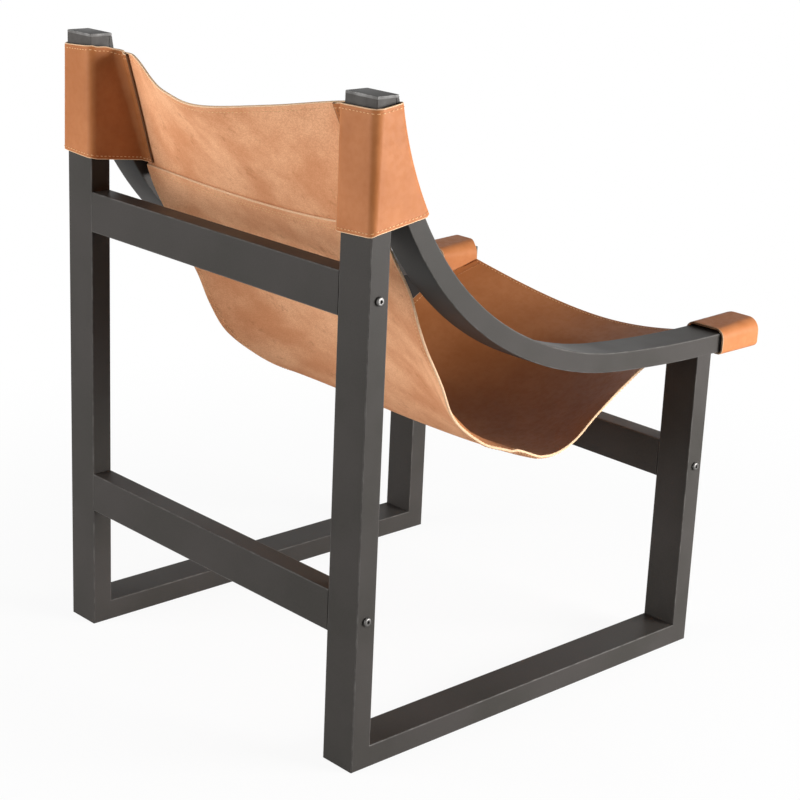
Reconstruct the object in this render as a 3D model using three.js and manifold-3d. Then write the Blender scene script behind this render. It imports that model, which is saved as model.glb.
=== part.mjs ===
// A sling lounge chair: two closed side frames of rectangular steel tube, three cross
// rails screwed between them, and a two-piece leather sling hung between the frames.
// Lengths are millimetres. The sitter faces -Y, +Z is up, the floor is at Z = 0.

import * as THREE from 'three';
import { mergeVertices } from 'three/addons/utils/BufferGeometryUtils.js';
import Module from 'manifold-3d';

// Clearances: between neighbouring solids, between two layers of leather, and the
// length by which a cutting tool runs past what it cuts.
const GAP = 0.3;
const LAP_GAP = 0.6;
const OVERCUT = 5;
const WELD_TOLERANCE = 0.0001;

// Rectangular tube of the frame: wide across the chair, thin in side view.
const TUBE_WIDE = 50;
const TUBE_THIN = 27;
const TUBE_WALL = 2;

// Overall size of the frame, without the leather.
const FRAME_WIDTH = 560;
const FRAME_DEPTH = 590;
const FRAME_HEIGHT = 767;
const CAP_THICK = 3;
const CAP_DEPTH = 31;
const CAP_BEVEL = 0.6;
const POST_TOP = FRAME_HEIGHT - CAP_THICK - GAP;

// Arm: a level front end over the front leg, then three arcs that turn up the front of
// the rear post. Its level is a share of the frame's height, and its reach and the radii
// of its first two arcs are shares of the depth. The last arc ends under the cap.
const ARM_THIN = 24.4;
const ARM_LEVEL_SHARE = 0.5306;
const HORN_REACH_SHARE = 1.149;
const HORN_PLATE = 3;
const ARM_RADIUS_SHARES = [3.22, 0.8305];
const ARM_TURNS = [5.5, 22.5].map(THREE.MathUtils.degToRad);
const ARM_LEVEL = ARM_LEVEL_SHARE * FRAME_HEIGHT;
const HORN_REACH = HORN_REACH_SHARE * FRAME_DEPTH;
const LEG_TOP = ARM_LEVEL - ARM_THIN / 2 - GAP;

// Cross rails: the heights of their middles as shares of the frame's height, and the
// threaded plate inside each end.
const LOWER_RAIL_SHARE = 0.24;
const UPPER_RAIL_SHARE = 0.7184;
const FRONT_RAIL_SHARE = 0.322;
const LOWER_RAIL_HEIGHT = LOWER_RAIL_SHARE * FRAME_HEIGHT;
const UPPER_RAIL_HEIGHT = UPPER_RAIL_SHARE * FRAME_HEIGHT;
const FRONT_RAIL_HEIGHT = FRONT_RAIL_SHARE * FRAME_HEIGHT;
const RAIL_LENGTH = FRAME_WIDTH - 2 * TUBE_WIDE - 2 * GAP;
const PLATE_THICK = 8;

// Button-head screw with a hexagon socket.
const SCREW_RADIUS = 3;
const SCREW_END_CHAMFER = 0.7;
const SCREW_PAST_PLATE = 4;
const HEAD_RADIUS = 5.3;
const HEAD_HEIGHT = 3.3;
const HEAD_CROWN_RADIUS = 2.9;
const HEAD_RIM_SHARE = 0.25;
const SOCKET_RADIUS = 2.3;
const SOCKET_DEPTH = 2;
const SOCKET_SIDES = 6;
const SCREW_LENGTH = TUBE_WIDE + 2 * GAP + PLATE_THICK + SCREW_PAST_PLATE;

// Leather: thickness, how far its middle layer stands off the steel, corner radius
// where it goes round a tube, width of a stitched flap, and the sleeve's slack.
const LEATHER_THICK = 3;
const LEATHER_STAND_OFF = 3;
const LEATHER_STEP = LEATHER_THICK + LAP_GAP;
const FOLD_RADIUS = 5.5;
const FLAP_SHARE = 0.065;
const SLEEVE_SLACK = 1.2;
const CLEAR_HALF = FRAME_WIDTH / 2 - TUBE_WIDE;

// Sling stations from the back's top edge (0) over the lap seam (2) to the front edge
// (18). Side edge: shares of half the clear width, of the frame's depth forward of the
// posts' rear face, and of its height. Middle: forward and height shares, then the
// power that says how flat the cross-section's middle is, and how much the stiff band
// beside the edge holds its level. The rounding share takes the point off a low power.
const SIDE_EDGE_SHARES = [
  [0.965, 0.063, 0.978],
  [0.965, 0.101, 0.88],
  [0.954, 0.133, 0.791],
  [0.967, 0.175, 0.718],
  [0.965, 0.216, 0.652],
  [0.954, 0.26, 0.594],
  [0.956, 0.295, 0.538],
  [0.94, 0.334, 0.487],
  [0.922, 0.394, 0.446],
  [0.941, 0.471, 0.411],
  [0.963, 0.552, 0.387],
  [0.959, 0.627, 0.377],
  [0.941, 0.7, 0.388],
  [0.918, 0.777, 0.42],
  [0.918, 0.86, 0.458],
  [0.93, 0.942, 0.49],
  [0.974, 1.024, 0.501],
  [0.983, 1.088, 0.512],
  [0.984, 1.148, 0.522],
];
const MIDDLE_SHARES = [
  [-0.043, 0.939, 0.731, 0.061],
  [0.06, 0.853, 1.284, 0.077],
  [0.146, 0.779, 1.776, 0.079],
  [0.214, 0.714, 2.294, 0.05],
  [0.271, 0.655, 2.699, 0.017],
  [0.323, 0.598, 2.945, -0.009],
  [0.375, 0.545, 3.035, -0.021],
  [0.427, 0.494, 2.999, -0.023],
  [0.482, 0.444, 2.858, -0.024],
  [0.538, 0.398, 2.637, -0.02],
  [0.599, 0.358, 2.417, -0.015],
  [0.67, 0.333, 2.316, -0.022],
  [0.753, 0.333, 2.285, -0.023],
  [0.84, 0.352, 2.238, -0.024],
  [0.924, 0.383, 2.149, -0.021],
  [1.003, 0.416, 2.026, -0.011],
  [1.074, 0.441, 1.9, 0],
  [1.137, 0.455, 1.82, 0],
  [1.196, 0.467, 1.75, 0],
];
const MIDDLE_ROUND_SHARE = 0.25;
const STIFF_REACH_SHARE = 0.5;
const STIFF_PEAK = 27 / 4;
const SEAM_STATION = 2;
const BACK_PANEL_END_STATION = 2.3;
const SLEEVE_STATION = 16;
const FRONT_STATION = 18;

// Rims of the rear pockets, as shares of the frame's height, at the flap, the rear
// inner, rear outer and front outer corners, and where the arm's front face ends.
const POCKET_TOP_SHARES = [0.972, 0.983, 0.984, 0.988, 0.981];
const POCKET_BOTTOM_SHARES = [0.8, 0.806, 0.81, 0.824, 0.772];
const FLAP_START_STATION = 0.08;
const FLAP_END_STATION = 1.94;

// Fineness of the curved surfaces, as numbers of steps.
const ARC_STEPS = 14;
const ROUND_STEPS = 24;
const FOLD_STEPS = 3;
const DOME_STEPS = 5;
const TURN_STEPS = 4;
const RISE_STEPS = 3;
const SPAN_STEPS = 20;
const BACK_ROWS = 6;
const SEAT_ROWS = 18;
const SLEEVE_ROWS = 3;

const wasm = await Module();
wasm.setup();

const MATERIALS = {
  frame: { color: 0x5c5955, roughness: 0.45, metalness: 0.3 },
  cap: { color: 0x4c4a49, roughness: 0.4, metalness: 0.5 },
  steel: { color: 0xb4b4b2, roughness: 0.3, metalness: 1 },
  plate: { color: 0x8a8a88, roughness: 0.5, metalness: 1 },
  back: { color: 0xc98a5c, roughness: 0.6, metalness: 0 },
  seat: { color: 0xa8643a, roughness: 0.6, metalness: 0 },
};

function namedMesh(name, geometry, look) {
  geometry.computeVertexNormals();
  const mesh = new THREE.Mesh(geometry, new THREE.MeshStandardMaterial(MATERIALS[look]));
  mesh.name = name;
  return mesh;
}

// A closed geometry as a solid that can be cut.
function solidOf(geometry) {
  const bare = geometry.clone();
  bare.deleteAttribute('normal');
  bare.deleteAttribute('uv');
  const welded = mergeVertices(bare, WELD_TOLERANCE);
  return new wasm.Manifold(new wasm.Mesh({
    numProp: 3,
    vertProperties: new Float32Array(welded.attributes.position.array),
    triVerts: new Uint32Array(welded.index.array),
  }));
}

function cutAway(geometry, tools) {
  let solid = solidOf(geometry);
  for (const tool of tools) {
    solid = solid.subtract(solidOf(tool));
  }
  const { vertProperties, triVerts } = solid.getMesh();
  const result = new THREE.BufferGeometry();
  result.setAttribute('position', new THREE.BufferAttribute(new Float32Array(vertProperties), 3));
  result.setIndex(new THREE.BufferAttribute(new Uint32Array(triVerts), 1));
  return result;
}

function polygon(corners) {
  return new THREE.Shape(corners.map(([forward, up]) => new THREE.Vector2(forward, up)));
}

function rectangle(low, high) {
  return polygon([[low[0], low[1]], [high[0], low[1]], [high[0], high[1]], [low[0], high[1]]]);
}

function extruded(outline, depth) {
  return new THREE.ExtrudeGeometry(outline, {
    depth,
    bevelEnabled: false,
    curveSegments: ARC_STEPS,
  });
}

// A piece of tube from its side outline: walls on all four sides, ends left open where
// the bore's outline runs past the outer one.
function tubeFromOutlines(outer, bore, tools = []) {
  const hollow = extruded(bore, TUBE_WIDE - 2 * TUBE_WALL).translate(0, 0, TUBE_WALL);
  return cutAway(extruded(outer, TUBE_WIDE), [hollow, ...tools]);
}

function screwHole(forward, up) {
  const radius = SCREW_RADIUS + GAP;
  return new THREE.CylinderGeometry(radius, radius, TUBE_WIDE + 2 * OVERCUT, ROUND_STEPS)
    .rotateX(Math.PI / 2)
    .translate(forward, up, TUBE_WIDE / 2);
}

// Each half of a mitre stands back by half the gap, measured square to the cut.
const MITRE_SHIFT = GAP * Math.SQRT1_2;

function rearPostGeometry() {
  const outer = polygon([
    [0, MITRE_SHIFT],
    [TUBE_THIN, TUBE_THIN + MITRE_SHIFT],
    [TUBE_THIN, POST_TOP],
    [0, POST_TOP],
  ]);
  const bore = rectangle([TUBE_WALL, -OVERCUT], [TUBE_THIN - TUBE_WALL, POST_TOP + OVERCUT]);
  const holes = [LOWER_RAIL_HEIGHT, UPPER_RAIL_HEIGHT].map((up) => screwHole(TUBE_THIN / 2, up));
  return tubeFromOutlines(outer, bore, holes);
}

function floorRailGeometry() {
  const outer = polygon([
    [MITRE_SHIFT, 0],
    [FRAME_DEPTH - MITRE_SHIFT, 0],
    [FRAME_DEPTH - TUBE_THIN - MITRE_SHIFT, TUBE_THIN],
    [TUBE_THIN + MITRE_SHIFT, TUBE_THIN],
  ]);
  const bore = rectangle(
    [-OVERCUT, TUBE_WALL],
    [FRAME_DEPTH + OVERCUT, TUBE_THIN - TUBE_WALL],
  );
  return tubeFromOutlines(outer, bore);
}

function frontLegGeometry() {
  const rear = FRAME_DEPTH - TUBE_THIN;
  const outer = polygon([
    [FRAME_DEPTH, MITRE_SHIFT],
    [FRAME_DEPTH, LEG_TOP],
    [rear, LEG_TOP],
    [rear, TUBE_THIN + MITRE_SHIFT],
  ]);
  const bore = rectangle(
    [rear + TUBE_WALL, -OVERCUT],
    [FRAME_DEPTH - TUBE_WALL, LEG_TOP + OVERCUT],
  );
  return tubeFromOutlines(outer, bore, [screwHole(FRAME_DEPTH - TUBE_THIN / 2, FRONT_RAIL_HEIGHT)]);
}

// The arm's last arc leaves `start` at `slope`. Its front face passes through the cap's
// front edge, which gives the radius, and it runs on a little above the post's top.
function lastArmArc(start, slope) {
  const half = ARM_THIN / 2;
  const reach = new THREE.Vector2(CAP_DEPTH, POST_TOP).sub(start);
  const square = new THREE.Vector2(Math.sin(slope), Math.cos(slope));
  const radius = (reach.lengthSq() - half * half) / (2 * (reach.dot(square) - half));
  const centre = start.clone().addScaledVector(square, radius);
  const rise = Math.asin((POST_TOP + OVERCUT - centre.y) / (radius - half));
  return { centre, radius, from: -Math.PI / 2 - slope, to: -Math.PI - rise };
}

// Centres and angles of the arm's arcs. Each arc starts where the last one ends, with
// the same slope; its centre lies square to the arm, above and in front of it.
function armArcs() {
  const arcs = [];
  let point = new THREE.Vector2(FRAME_DEPTH, ARM_LEVEL);
  let slope = 0;
  ARM_RADIUS_SHARES.forEach((radiusShare, i) => {
    const radius = radiusShare * FRAME_DEPTH;
    const square = new THREE.Vector2(Math.sin(slope), Math.cos(slope));
    const centre = point.clone().addScaledVector(square, radius);
    const endSlope = slope + ARM_TURNS[i];
    arcs.push({ centre, radius, from: -Math.PI / 2 - slope, to: -Math.PI / 2 - endSlope });
    const endSquare = new THREE.Vector2(Math.sin(endSlope), Math.cos(endSlope));
    point = centre.clone().addScaledVector(endSquare, -radius);
    slope = endSlope;
  });
  arcs.push(lastArmArc(point, slope));
  return arcs;
}
const ARM_ARCS = armArcs();

// Side outline of the arm between its two faces, `half` either side of the middle line.
function armOutline(half, front) {
  const outline = new THREE.Shape();
  outline.moveTo(front, ARM_LEVEL - half);
  outline.lineTo(front, ARM_LEVEL + half);
  for (const { centre, radius, from, to } of ARM_ARCS) {
    outline.absarc(centre.x, centre.y, radius - half, from, to, true);
  }
  for (const { centre, radius, from, to } of [...ARM_ARCS].reverse()) {
    outline.absarc(centre.x, centre.y, radius + half, to, from, false);
  }
  return outline;
}

function armGeometry() {
  const plateRear = HORN_REACH - HORN_PLATE - GAP;
  const behindPost = extruded(
    rectangle([-FRAME_DEPTH, 0], [TUBE_THIN + GAP, FRAME_HEIGHT + FRAME_DEPTH]),
    TUBE_WIDE + 2 * OVERCUT,
  ).translate(0, 0, -OVERCUT);
  const aboveTop = extruded(
    rectangle([-OVERCUT, POST_TOP], [FRAME_DEPTH, FRAME_HEIGHT + FRAME_DEPTH]),
    TUBE_WIDE + 2 * OVERCUT,
  ).translate(0, 0, -OVERCUT);
  return tubeFromOutlines(
    armOutline(ARM_THIN / 2, plateRear),
    armOutline(ARM_THIN / 2 - TUBE_WALL, plateRear + OVERCUT),
    [behindPost, aboveTop],
  );
}

// How far forward the arm's front face lies at a height on its last arc.
function armFront(up) {
  const { centre, radius } = ARM_ARCS[ARM_ARCS.length - 1];
  const inner = radius - ARM_THIN / 2;
  return centre.x - Math.sqrt(inner * inner - (centre.y - up) * (centre.y - up));
}

function hornPlateGeometry() {
  return new THREE.BoxGeometry(HORN_PLATE, ARM_THIN, TUBE_WIDE)
    .translate(HORN_REACH - HORN_PLATE / 2, ARM_LEVEL, TUBE_WIDE / 2);
}

// Top cap over the post and the thin end of the arm, its edges eased all round.
function postCapGeometry() {
  const plan = rectangle(
    [CAP_BEVEL, CAP_BEVEL],
    [CAP_DEPTH - CAP_BEVEL, TUBE_WIDE - CAP_BEVEL],
  );
  return new THREE.ExtrudeGeometry(plan, {
    depth: CAP_THICK - 2 * CAP_BEVEL,
    bevelSize: CAP_BEVEL,
    bevelThickness: CAP_BEVEL,
    bevelSegments: 1,
  }).rotateX(Math.PI / 2).translate(0, FRAME_HEIGHT - CAP_BEVEL, 0);
}

// One side frame, built in side view: X forward, Y up, Z towards the sitter's right.
function sideFrame(side) {
  const frame = new THREE.Group();
  frame.add(
    namedMesh(`${side}_rear_post`, rearPostGeometry(), 'frame'),
    namedMesh(`${side}_floor_rail`, floorRailGeometry(), 'frame'),
    namedMesh(`${side}_front_leg`, frontLegGeometry(), 'frame'),
    namedMesh(`${side}_arm`, armGeometry(), 'frame'),
    namedMesh(`${side}_horn_end_plate`, hornPlateGeometry(), 'frame'),
    namedMesh(`${side}_post_cap`, postCapGeometry(), 'cap'),
  );
  frame.rotation.set(Math.PI / 2, 0, -Math.PI / 2, 'ZYX');
  frame.position.x = side === 'left' ? FRAME_WIDTH / 2 : -CLEAR_HALF;
  return frame;
}

function railGeometry() {
  const section = rectangle([-TUBE_THIN / 2, -TUBE_WIDE / 2], [TUBE_THIN / 2, TUBE_WIDE / 2]);
  const deep = TUBE_THIN / 2 - TUBE_WALL;
  const tall = TUBE_WIDE / 2 - TUBE_WALL;
  section.holes.push(rectangle([-deep, -tall], [deep, tall]));
  return extruded(section, RAIL_LENGTH).translate(0, 0, -RAIL_LENGTH / 2);
}

function railPlateGeometry() {
  const deep = TUBE_THIN / 2 - TUBE_WALL - GAP;
  const tall = TUBE_WIDE / 2 - TUBE_WALL - GAP;
  const outline = rectangle([-deep, -tall], [deep, tall]);
  const hole = new THREE.Path();
  hole.absarc(0, 0, SCREW_RADIUS + GAP, 0, 2 * Math.PI, true);
  outline.holes.push(hole);
  return extruded(outline, PLATE_THICK).translate(0, 0, -PLATE_THICK / 2);
}

function screwGeometry() {
  const dome = new THREE.QuadraticBezierCurve(
    new THREE.Vector2(HEAD_RADIUS, HEAD_RIM_SHARE * HEAD_HEIGHT),
    new THREE.Vector2(HEAD_RADIUS, HEAD_HEIGHT),
    new THREE.Vector2(HEAD_CROWN_RADIUS, HEAD_HEIGHT),
  ).getPoints(DOME_STEPS);
  const profile = [
    new THREE.Vector2(0, -SCREW_LENGTH),
    new THREE.Vector2(SCREW_RADIUS - SCREW_END_CHAMFER, -SCREW_LENGTH),
    new THREE.Vector2(SCREW_RADIUS, SCREW_END_CHAMFER - SCREW_LENGTH),
    new THREE.Vector2(SCREW_RADIUS, 0),
    new THREE.Vector2(HEAD_RADIUS, 0),
    ...dome,
    new THREE.Vector2(0, HEAD_HEIGHT),
  ];
  const socket = new THREE.CylinderGeometry(
    SOCKET_RADIUS,
    SOCKET_RADIUS,
    2 * SOCKET_DEPTH,
    SOCKET_SIDES,
  ).translate(0, HEAD_HEIGHT, 0);
  return cutAway(new THREE.LatheGeometry(profile, ROUND_STEPS), [socket]);
}

// A cross rail with its two end plates and the two screws that hold it.
function crossRail(name, forward, up) {
  const assembly = new THREE.Group();
  const rail = namedMesh(`${name}_rail`, railGeometry(), 'frame');
  rail.rotation.set(Math.PI / 2, Math.PI / 2, 0);
  assembly.add(rail);
  for (const [side, sign] of [['left', 1], ['right', -1]]) {
    const plate = namedMesh(`${name}_rail_${side}_plate`, railPlateGeometry(), 'plate');
    plate.rotation.set(Math.PI / 2, Math.PI / 2, 0);
    plate.position.x = sign * (RAIL_LENGTH - PLATE_THICK) / 2;
    const screw = namedMesh(`${name}_rail_${side}_screw`, screwGeometry(), 'steel');
    screw.rotation.z = -sign * Math.PI / 2;
    screw.position.x = sign * (FRAME_WIDTH / 2 + GAP);
    assembly.add(plate, screw);
  }
  assembly.position.set(0, -forward, up);
  return assembly;
}

// The sling as one smooth surface through the stations. `across` runs from -1 to 1
// between the side edges, `station` from 0 to 18 along the sling.
function smoothThrough(points) {
  return new THREE.CatmullRomCurve3(points, false, 'catmullrom');
}
const sideEdge = smoothThrough(SIDE_EDGE_SHARES.map(([out, forward, up]) => (
  new THREE.Vector3(out * CLEAR_HALF, forward * FRAME_DEPTH, up * FRAME_HEIGHT)
)));
const middleLine = smoothThrough(MIDDLE_SHARES.map(([forward, up]) => (
  new THREE.Vector3(0, forward * FRAME_DEPTH, up * FRAME_HEIGHT)
)));
const sectionShape = smoothThrough(MIDDLE_SHARES.map(([, , power, stiffness]) => (
  new THREE.Vector3(power, stiffness, 0)
)));

// Height of a cross-section at a share of the way out: 0 in the middle, 1 at the edge,
// a power of the distance whose tip in the middle is rounded off. The stiff band adds
// t (1 - t)^2 of the distance t from the edge, scaled so that its peak is 1.
function sectionShare(across, shape) {
  const rounded = (x) => (x * x + MIDDLE_ROUND_SHARE ** 2) ** (shape.x / 2);
  const inward = Math.min((1 - Math.abs(across)) / STIFF_REACH_SHARE, 1);
  const band = STIFF_PEAK * inward * (1 - inward) ** 2;
  return (rounded(across) - rounded(0)) / (rounded(1) - rounded(0)) + shape.y * band;
}

function slingPoint(across, station) {
  const edge = sideEdge.getPoint(station / FRONT_STATION);
  const middle = middleLine.getPoint(station / FRONT_STATION);
  const share = sectionShare(across, sectionShape.getPoint(station / FRONT_STATION));
  return new THREE.Vector3(
    across * edge.x,
    -THREE.MathUtils.lerp(middle.y, edge.y, share),
    THREE.MathUtils.lerp(middle.z, edge.z, share),
  );
}

// The same surface moved away from the sitter, square to itself.
const NUDGE = 0.002;
function slingPointOutside(across, station, distance) {
  const low = Math.max(station - NUDGE, 0);
  const high = Math.min(station + NUDGE, FRONT_STATION);
  const left = Math.min(across + NUDGE, 1);
  const right = Math.max(across - NUDGE, -1);
  const along = slingPoint(across, high).sub(slingPoint(across, low));
  const sideways = slingPoint(left, station).sub(slingPoint(right, station));
  const away = sideways.cross(along).normalize();
  return slingPoint(across, station).addScaledVector(away, distance);
}

function steps(from, to, count) {
  return Array.from({ length: count + 1 }, (_, i) => THREE.MathUtils.lerp(from, to, i / count));
}

// Points round a right-angled fold, from the end of one face to the start of the next.
function fold(centre, radius, from, to) {
  return steps(from, to, FOLD_STEPS).map((angle) => [
    centre[0] + radius * Math.cos(angle),
    centre[1] + radius * Math.sin(angle),
  ]);
}

function curveBetween(from, control, to, count) {
  const curve = new THREE.QuadraticBezierCurve(
    new THREE.Vector2(...from),
    new THREE.Vector2(...control),
    new THREE.Vector2(...to),
  );
  return curve.getPoints(count).map((point) => [point.x, point.y]);
}

// One row of the back panel on the left side, from the flap's end round the post and
// the arm to the sling's edge. Points are [out, forward, up].
function pocketRow(rowShare) {
  const rim = POCKET_TOP_SHARES.map((top, i) => (
    THREE.MathUtils.lerp(top, POCKET_BOTTOM_SHARES[i], rowShare) * FRAME_HEIGHT
  ));
  const [flapUp, rearInnerUp, rearOuterUp, frontOuterUp, frontInnerUp] = rim;
  const inner = CLEAR_HALF - LEATHER_STAND_OFF;
  const outer = FRAME_WIDTH / 2 + LEATHER_STAND_OFF;
  const rear = -LEATHER_STAND_OFF;
  const frontOuter = armFront(frontOuterUp) + LEATHER_STAND_OFF;
  const edge = slingPoint(1, rowShare * BACK_PANEL_END_STATION);
  const frontInner = armFront(edge.z) + LEATHER_STAND_OFF;
  const flapStation = THREE.MathUtils.lerp(FLAP_START_STATION, FLAP_END_STATION, rowShare);
  const flap = [1 - FLAP_SHARE, 1 - FLAP_SHARE / 2, 1].map((across) => {
    const point = slingPointOutside(across, flapStation, LEATHER_STEP);
    return [point.x, -point.y, point.z];
  });
  const flapRoot = flap[2][1] - 2 * FOLD_RADIUS;
  const turns = [
    ...fold([inner + FOLD_RADIUS, rear + FOLD_RADIUS], FOLD_RADIUS, Math.PI, 1.5 * Math.PI)
      .map((point) => [...point, rearInnerUp]),
    ...fold([outer - FOLD_RADIUS, rear + FOLD_RADIUS], FOLD_RADIUS, -Math.PI / 2, 0)
      .map((point) => [...point, rearOuterUp]),
    ...fold([outer - FOLD_RADIUS, frontOuter - FOLD_RADIUS], FOLD_RADIUS, 0, Math.PI / 2)
      .map((point) => [...point, frontOuterUp]),
  ];
  const turnStart = [CLEAR_HALF + FOLD_RADIUS, frontInner];
  const turnControl = [inner - LEATHER_THICK / 2, frontInner + LEATHER_THICK];
  const turnHeights = steps(frontInnerUp, edge.z, TURN_STEPS);
  const round = curveBetween(turnStart, turnControl, [edge.x, -edge.y], TURN_STEPS)
    .slice(0, -1)
    .map(([out, forward], i) => [out, forward, turnHeights[i]]);
  return [...flap, [inner, flapRoot, flapUp], ...turns, ...round];
}

function mirrored(points) {
  return points.map(([out, forward, up]) => [-out, forward, up]).reverse();
}

// One whole row of the back panel, left flap to right flap.
function backPanelRow(rowShare) {
  const pocket = pocketRow(rowShare);
  const span = steps(1, -1, SPAN_STEPS).map((across) => {
    const point = slingPoint(across, rowShare * BACK_PANEL_END_STATION);
    return [point.x, -point.y, point.z];
  });
  return [...pocket, ...span, ...mirrored(pocket)];
}

// One row of a front sleeve on the left side, from the seat's edge up the horn's inner
// face, over it, down its outer face and back to the seat's underside.
function sleeveRow(station) {
  const edge = slingPointOutside(1, station, LEATHER_STEP);
  const forward = -edge.y;
  const inner = CLEAR_HALF - LEATHER_STAND_OFF;
  const outer = FRAME_WIDTH / 2 + LEATHER_STAND_OFF + SLEEVE_SLACK;
  const top = ARM_LEVEL + ARM_THIN / 2 + LEATHER_STAND_OFF + SLEEVE_SLACK;
  const bottom = ARM_LEVEL - ARM_THIN / 2 - LEATHER_STAND_OFF - SLEEVE_SLACK;
  const rise = curveBetween(
    [edge.x, edge.z],
    [inner, edge.z + GAP],
    [inner, ARM_LEVEL],
    RISE_STEPS,
  ).slice(1);
  const turns = [
    ...rise,
    ...fold([inner + FOLD_RADIUS, top - FOLD_RADIUS], FOLD_RADIUS, Math.PI, Math.PI / 2),
    ...fold([outer - FOLD_RADIUS, top - FOLD_RADIUS], FOLD_RADIUS, Math.PI / 2, 0),
    ...fold([outer - FOLD_RADIUS, bottom + FOLD_RADIUS], FOLD_RADIUS, 0, -Math.PI / 2),
    [CLEAR_HALF + FOLD_RADIUS, bottom],
  ].map(([out, up]) => [out, forward, up]);
  const flap = [1, 1 - FLAP_SHARE / 2, 1 - FLAP_SHARE].map((across) => {
    const point = slingPointOutside(across, station, 2 * LEATHER_STEP);
    return [point.x, -point.y, point.z];
  });
  return [...turns, ...flap];
}

// One whole row of the seat panel, left sleeve's flap to right sleeve's flap.
function seatPanelRow(station) {
  const sleeve = sleeveRow(station).reverse();
  const span = steps(1, -1, SPAN_STEPS).map((across) => {
    const point = slingPointOutside(across, station, LEATHER_STEP);
    return [point.x, -point.y, point.z];
  });
  return [...sleeve, ...span, ...mirrored(sleeve)];
}

// A sheet of even thickness about a grid of middle points. `kept` says which cells of
// the grid are leather; an edge with no neighbour gets a rim.
function sheetGeometry(rows, thickness, kept) {
  const grid = rows.map((row) => row.map(([out, forward, up]) => (
    new THREE.Vector3(out, -forward, up)
  )));
  const rowCount = grid.length;
  const columnCount = grid[0].length;
  const positions = [];
  for (const offset of [thickness / 2, -thickness / 2]) {
    grid.forEach((row, j) => row.forEach((point, i) => {
      const across = row[Math.min(i + 1, columnCount - 1)].clone().sub(row[Math.max(i - 1, 0)]);
      const along = grid[Math.min(j + 1, rowCount - 1)][i].clone()
        .sub(grid[Math.max(j - 1, 0)][i]);
      const square = across.cross(along).normalize();
      positions.push(...point.clone().addScaledVector(square, offset).toArray());
    }));
  }
  const back = rowCount * columnCount;
  const index = [];
  const isKept = (i, j) => (
    i >= 0 && j >= 0 && i < columnCount - 1 && j < rowCount - 1 && kept(i, j)
  );
  for (let j = 0; j < rowCount - 1; j += 1) {
    for (let i = 0; i < columnCount - 1; i += 1) {
      if (isKept(i, j)) {
        const a = j * columnCount + i;
        const b = a + 1;
        const c = b + columnCount;
        const d = a + columnCount;
        index.push(a, b, c, a, c, d);
        index.push(back + a, back + c, back + b, back + a, back + d, back + c);
        const rims = [[a, b, i, j - 1], [b, c, i + 1, j], [c, d, i, j + 1], [d, a, i - 1, j]];
        for (const [from, to, ni, nj] of rims) {
          if (!isKept(ni, nj)) {
            index.push(to, from, back + from, to, back + from, back + to);
          }
        }
      }
    }
  }
  const geometry = new THREE.BufferGeometry();
  geometry.setAttribute('position', new THREE.Float32BufferAttribute(positions, 3));
  geometry.setIndex(index);
  return mergeVertices(geometry.toNonIndexed(), WELD_TOLERANCE);
}

function backPanelGeometry() {
  const rows = steps(0, 1, BACK_ROWS).map(backPanelRow);
  return sheetGeometry(rows, LEATHER_THICK, () => true);
}

function seatPanelGeometry() {
  const stations = [
    SEAM_STATION,
    ...steps(BACK_PANEL_END_STATION, SLEEVE_STATION, SEAT_ROWS - 1),
    ...steps(SLEEVE_STATION, FRONT_STATION, SLEEVE_ROWS).slice(1),
  ];
  const rows = stations.map(seatPanelRow);
  const sleeveColumns = sleeveRow(SLEEVE_STATION).length;
  const isSeat = (i) => i >= sleeveColumns && i < sleeveColumns + SPAN_STEPS;
  return sheetGeometry(rows, LEATHER_THICK, (i, j) => isSeat(i) || j >= SEAT_ROWS);
}

const chair = new THREE.Group();
chair.add(
  sideFrame('left'),
  sideFrame('right'),
  crossRail('lower_back', TUBE_THIN / 2, LOWER_RAIL_HEIGHT),
  crossRail('upper_back', TUBE_THIN / 2, UPPER_RAIL_HEIGHT),
  crossRail('front', FRAME_DEPTH - TUBE_THIN / 2, FRONT_RAIL_HEIGHT),
  namedMesh('back_panel', backPanelGeometry(), 'back'),
  namedMesh('seat_panel', seatPanelGeometry(), 'seat'),
);

// The origin is on the floor, under the middle of the whole chair.
const bounds = new THREE.Box3().setFromObject(chair);
chair.position.y = -(bounds.min.y + bounds.max.y) / 2;

export default chair;
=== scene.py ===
# %% [markdown]
# # A sling lounge chair in painted steel tube and saddle leather
#
# The chair is two closed side frames of rectangular tube, three rails screwed between
# them, and a leather sling in two panels. The CAD solids come in as a fixed frame. This
# file dresses them: rounded steel tube, thick leather with two different sides, thread
# stitches, and soft light. Everything is in metres, with the floor at z = 0 and the
# sitter facing -y. Left and right are the sitter's.

import math

import bmesh
import bpy
import numpy as np
from mathutils import Matrix, Vector


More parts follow.
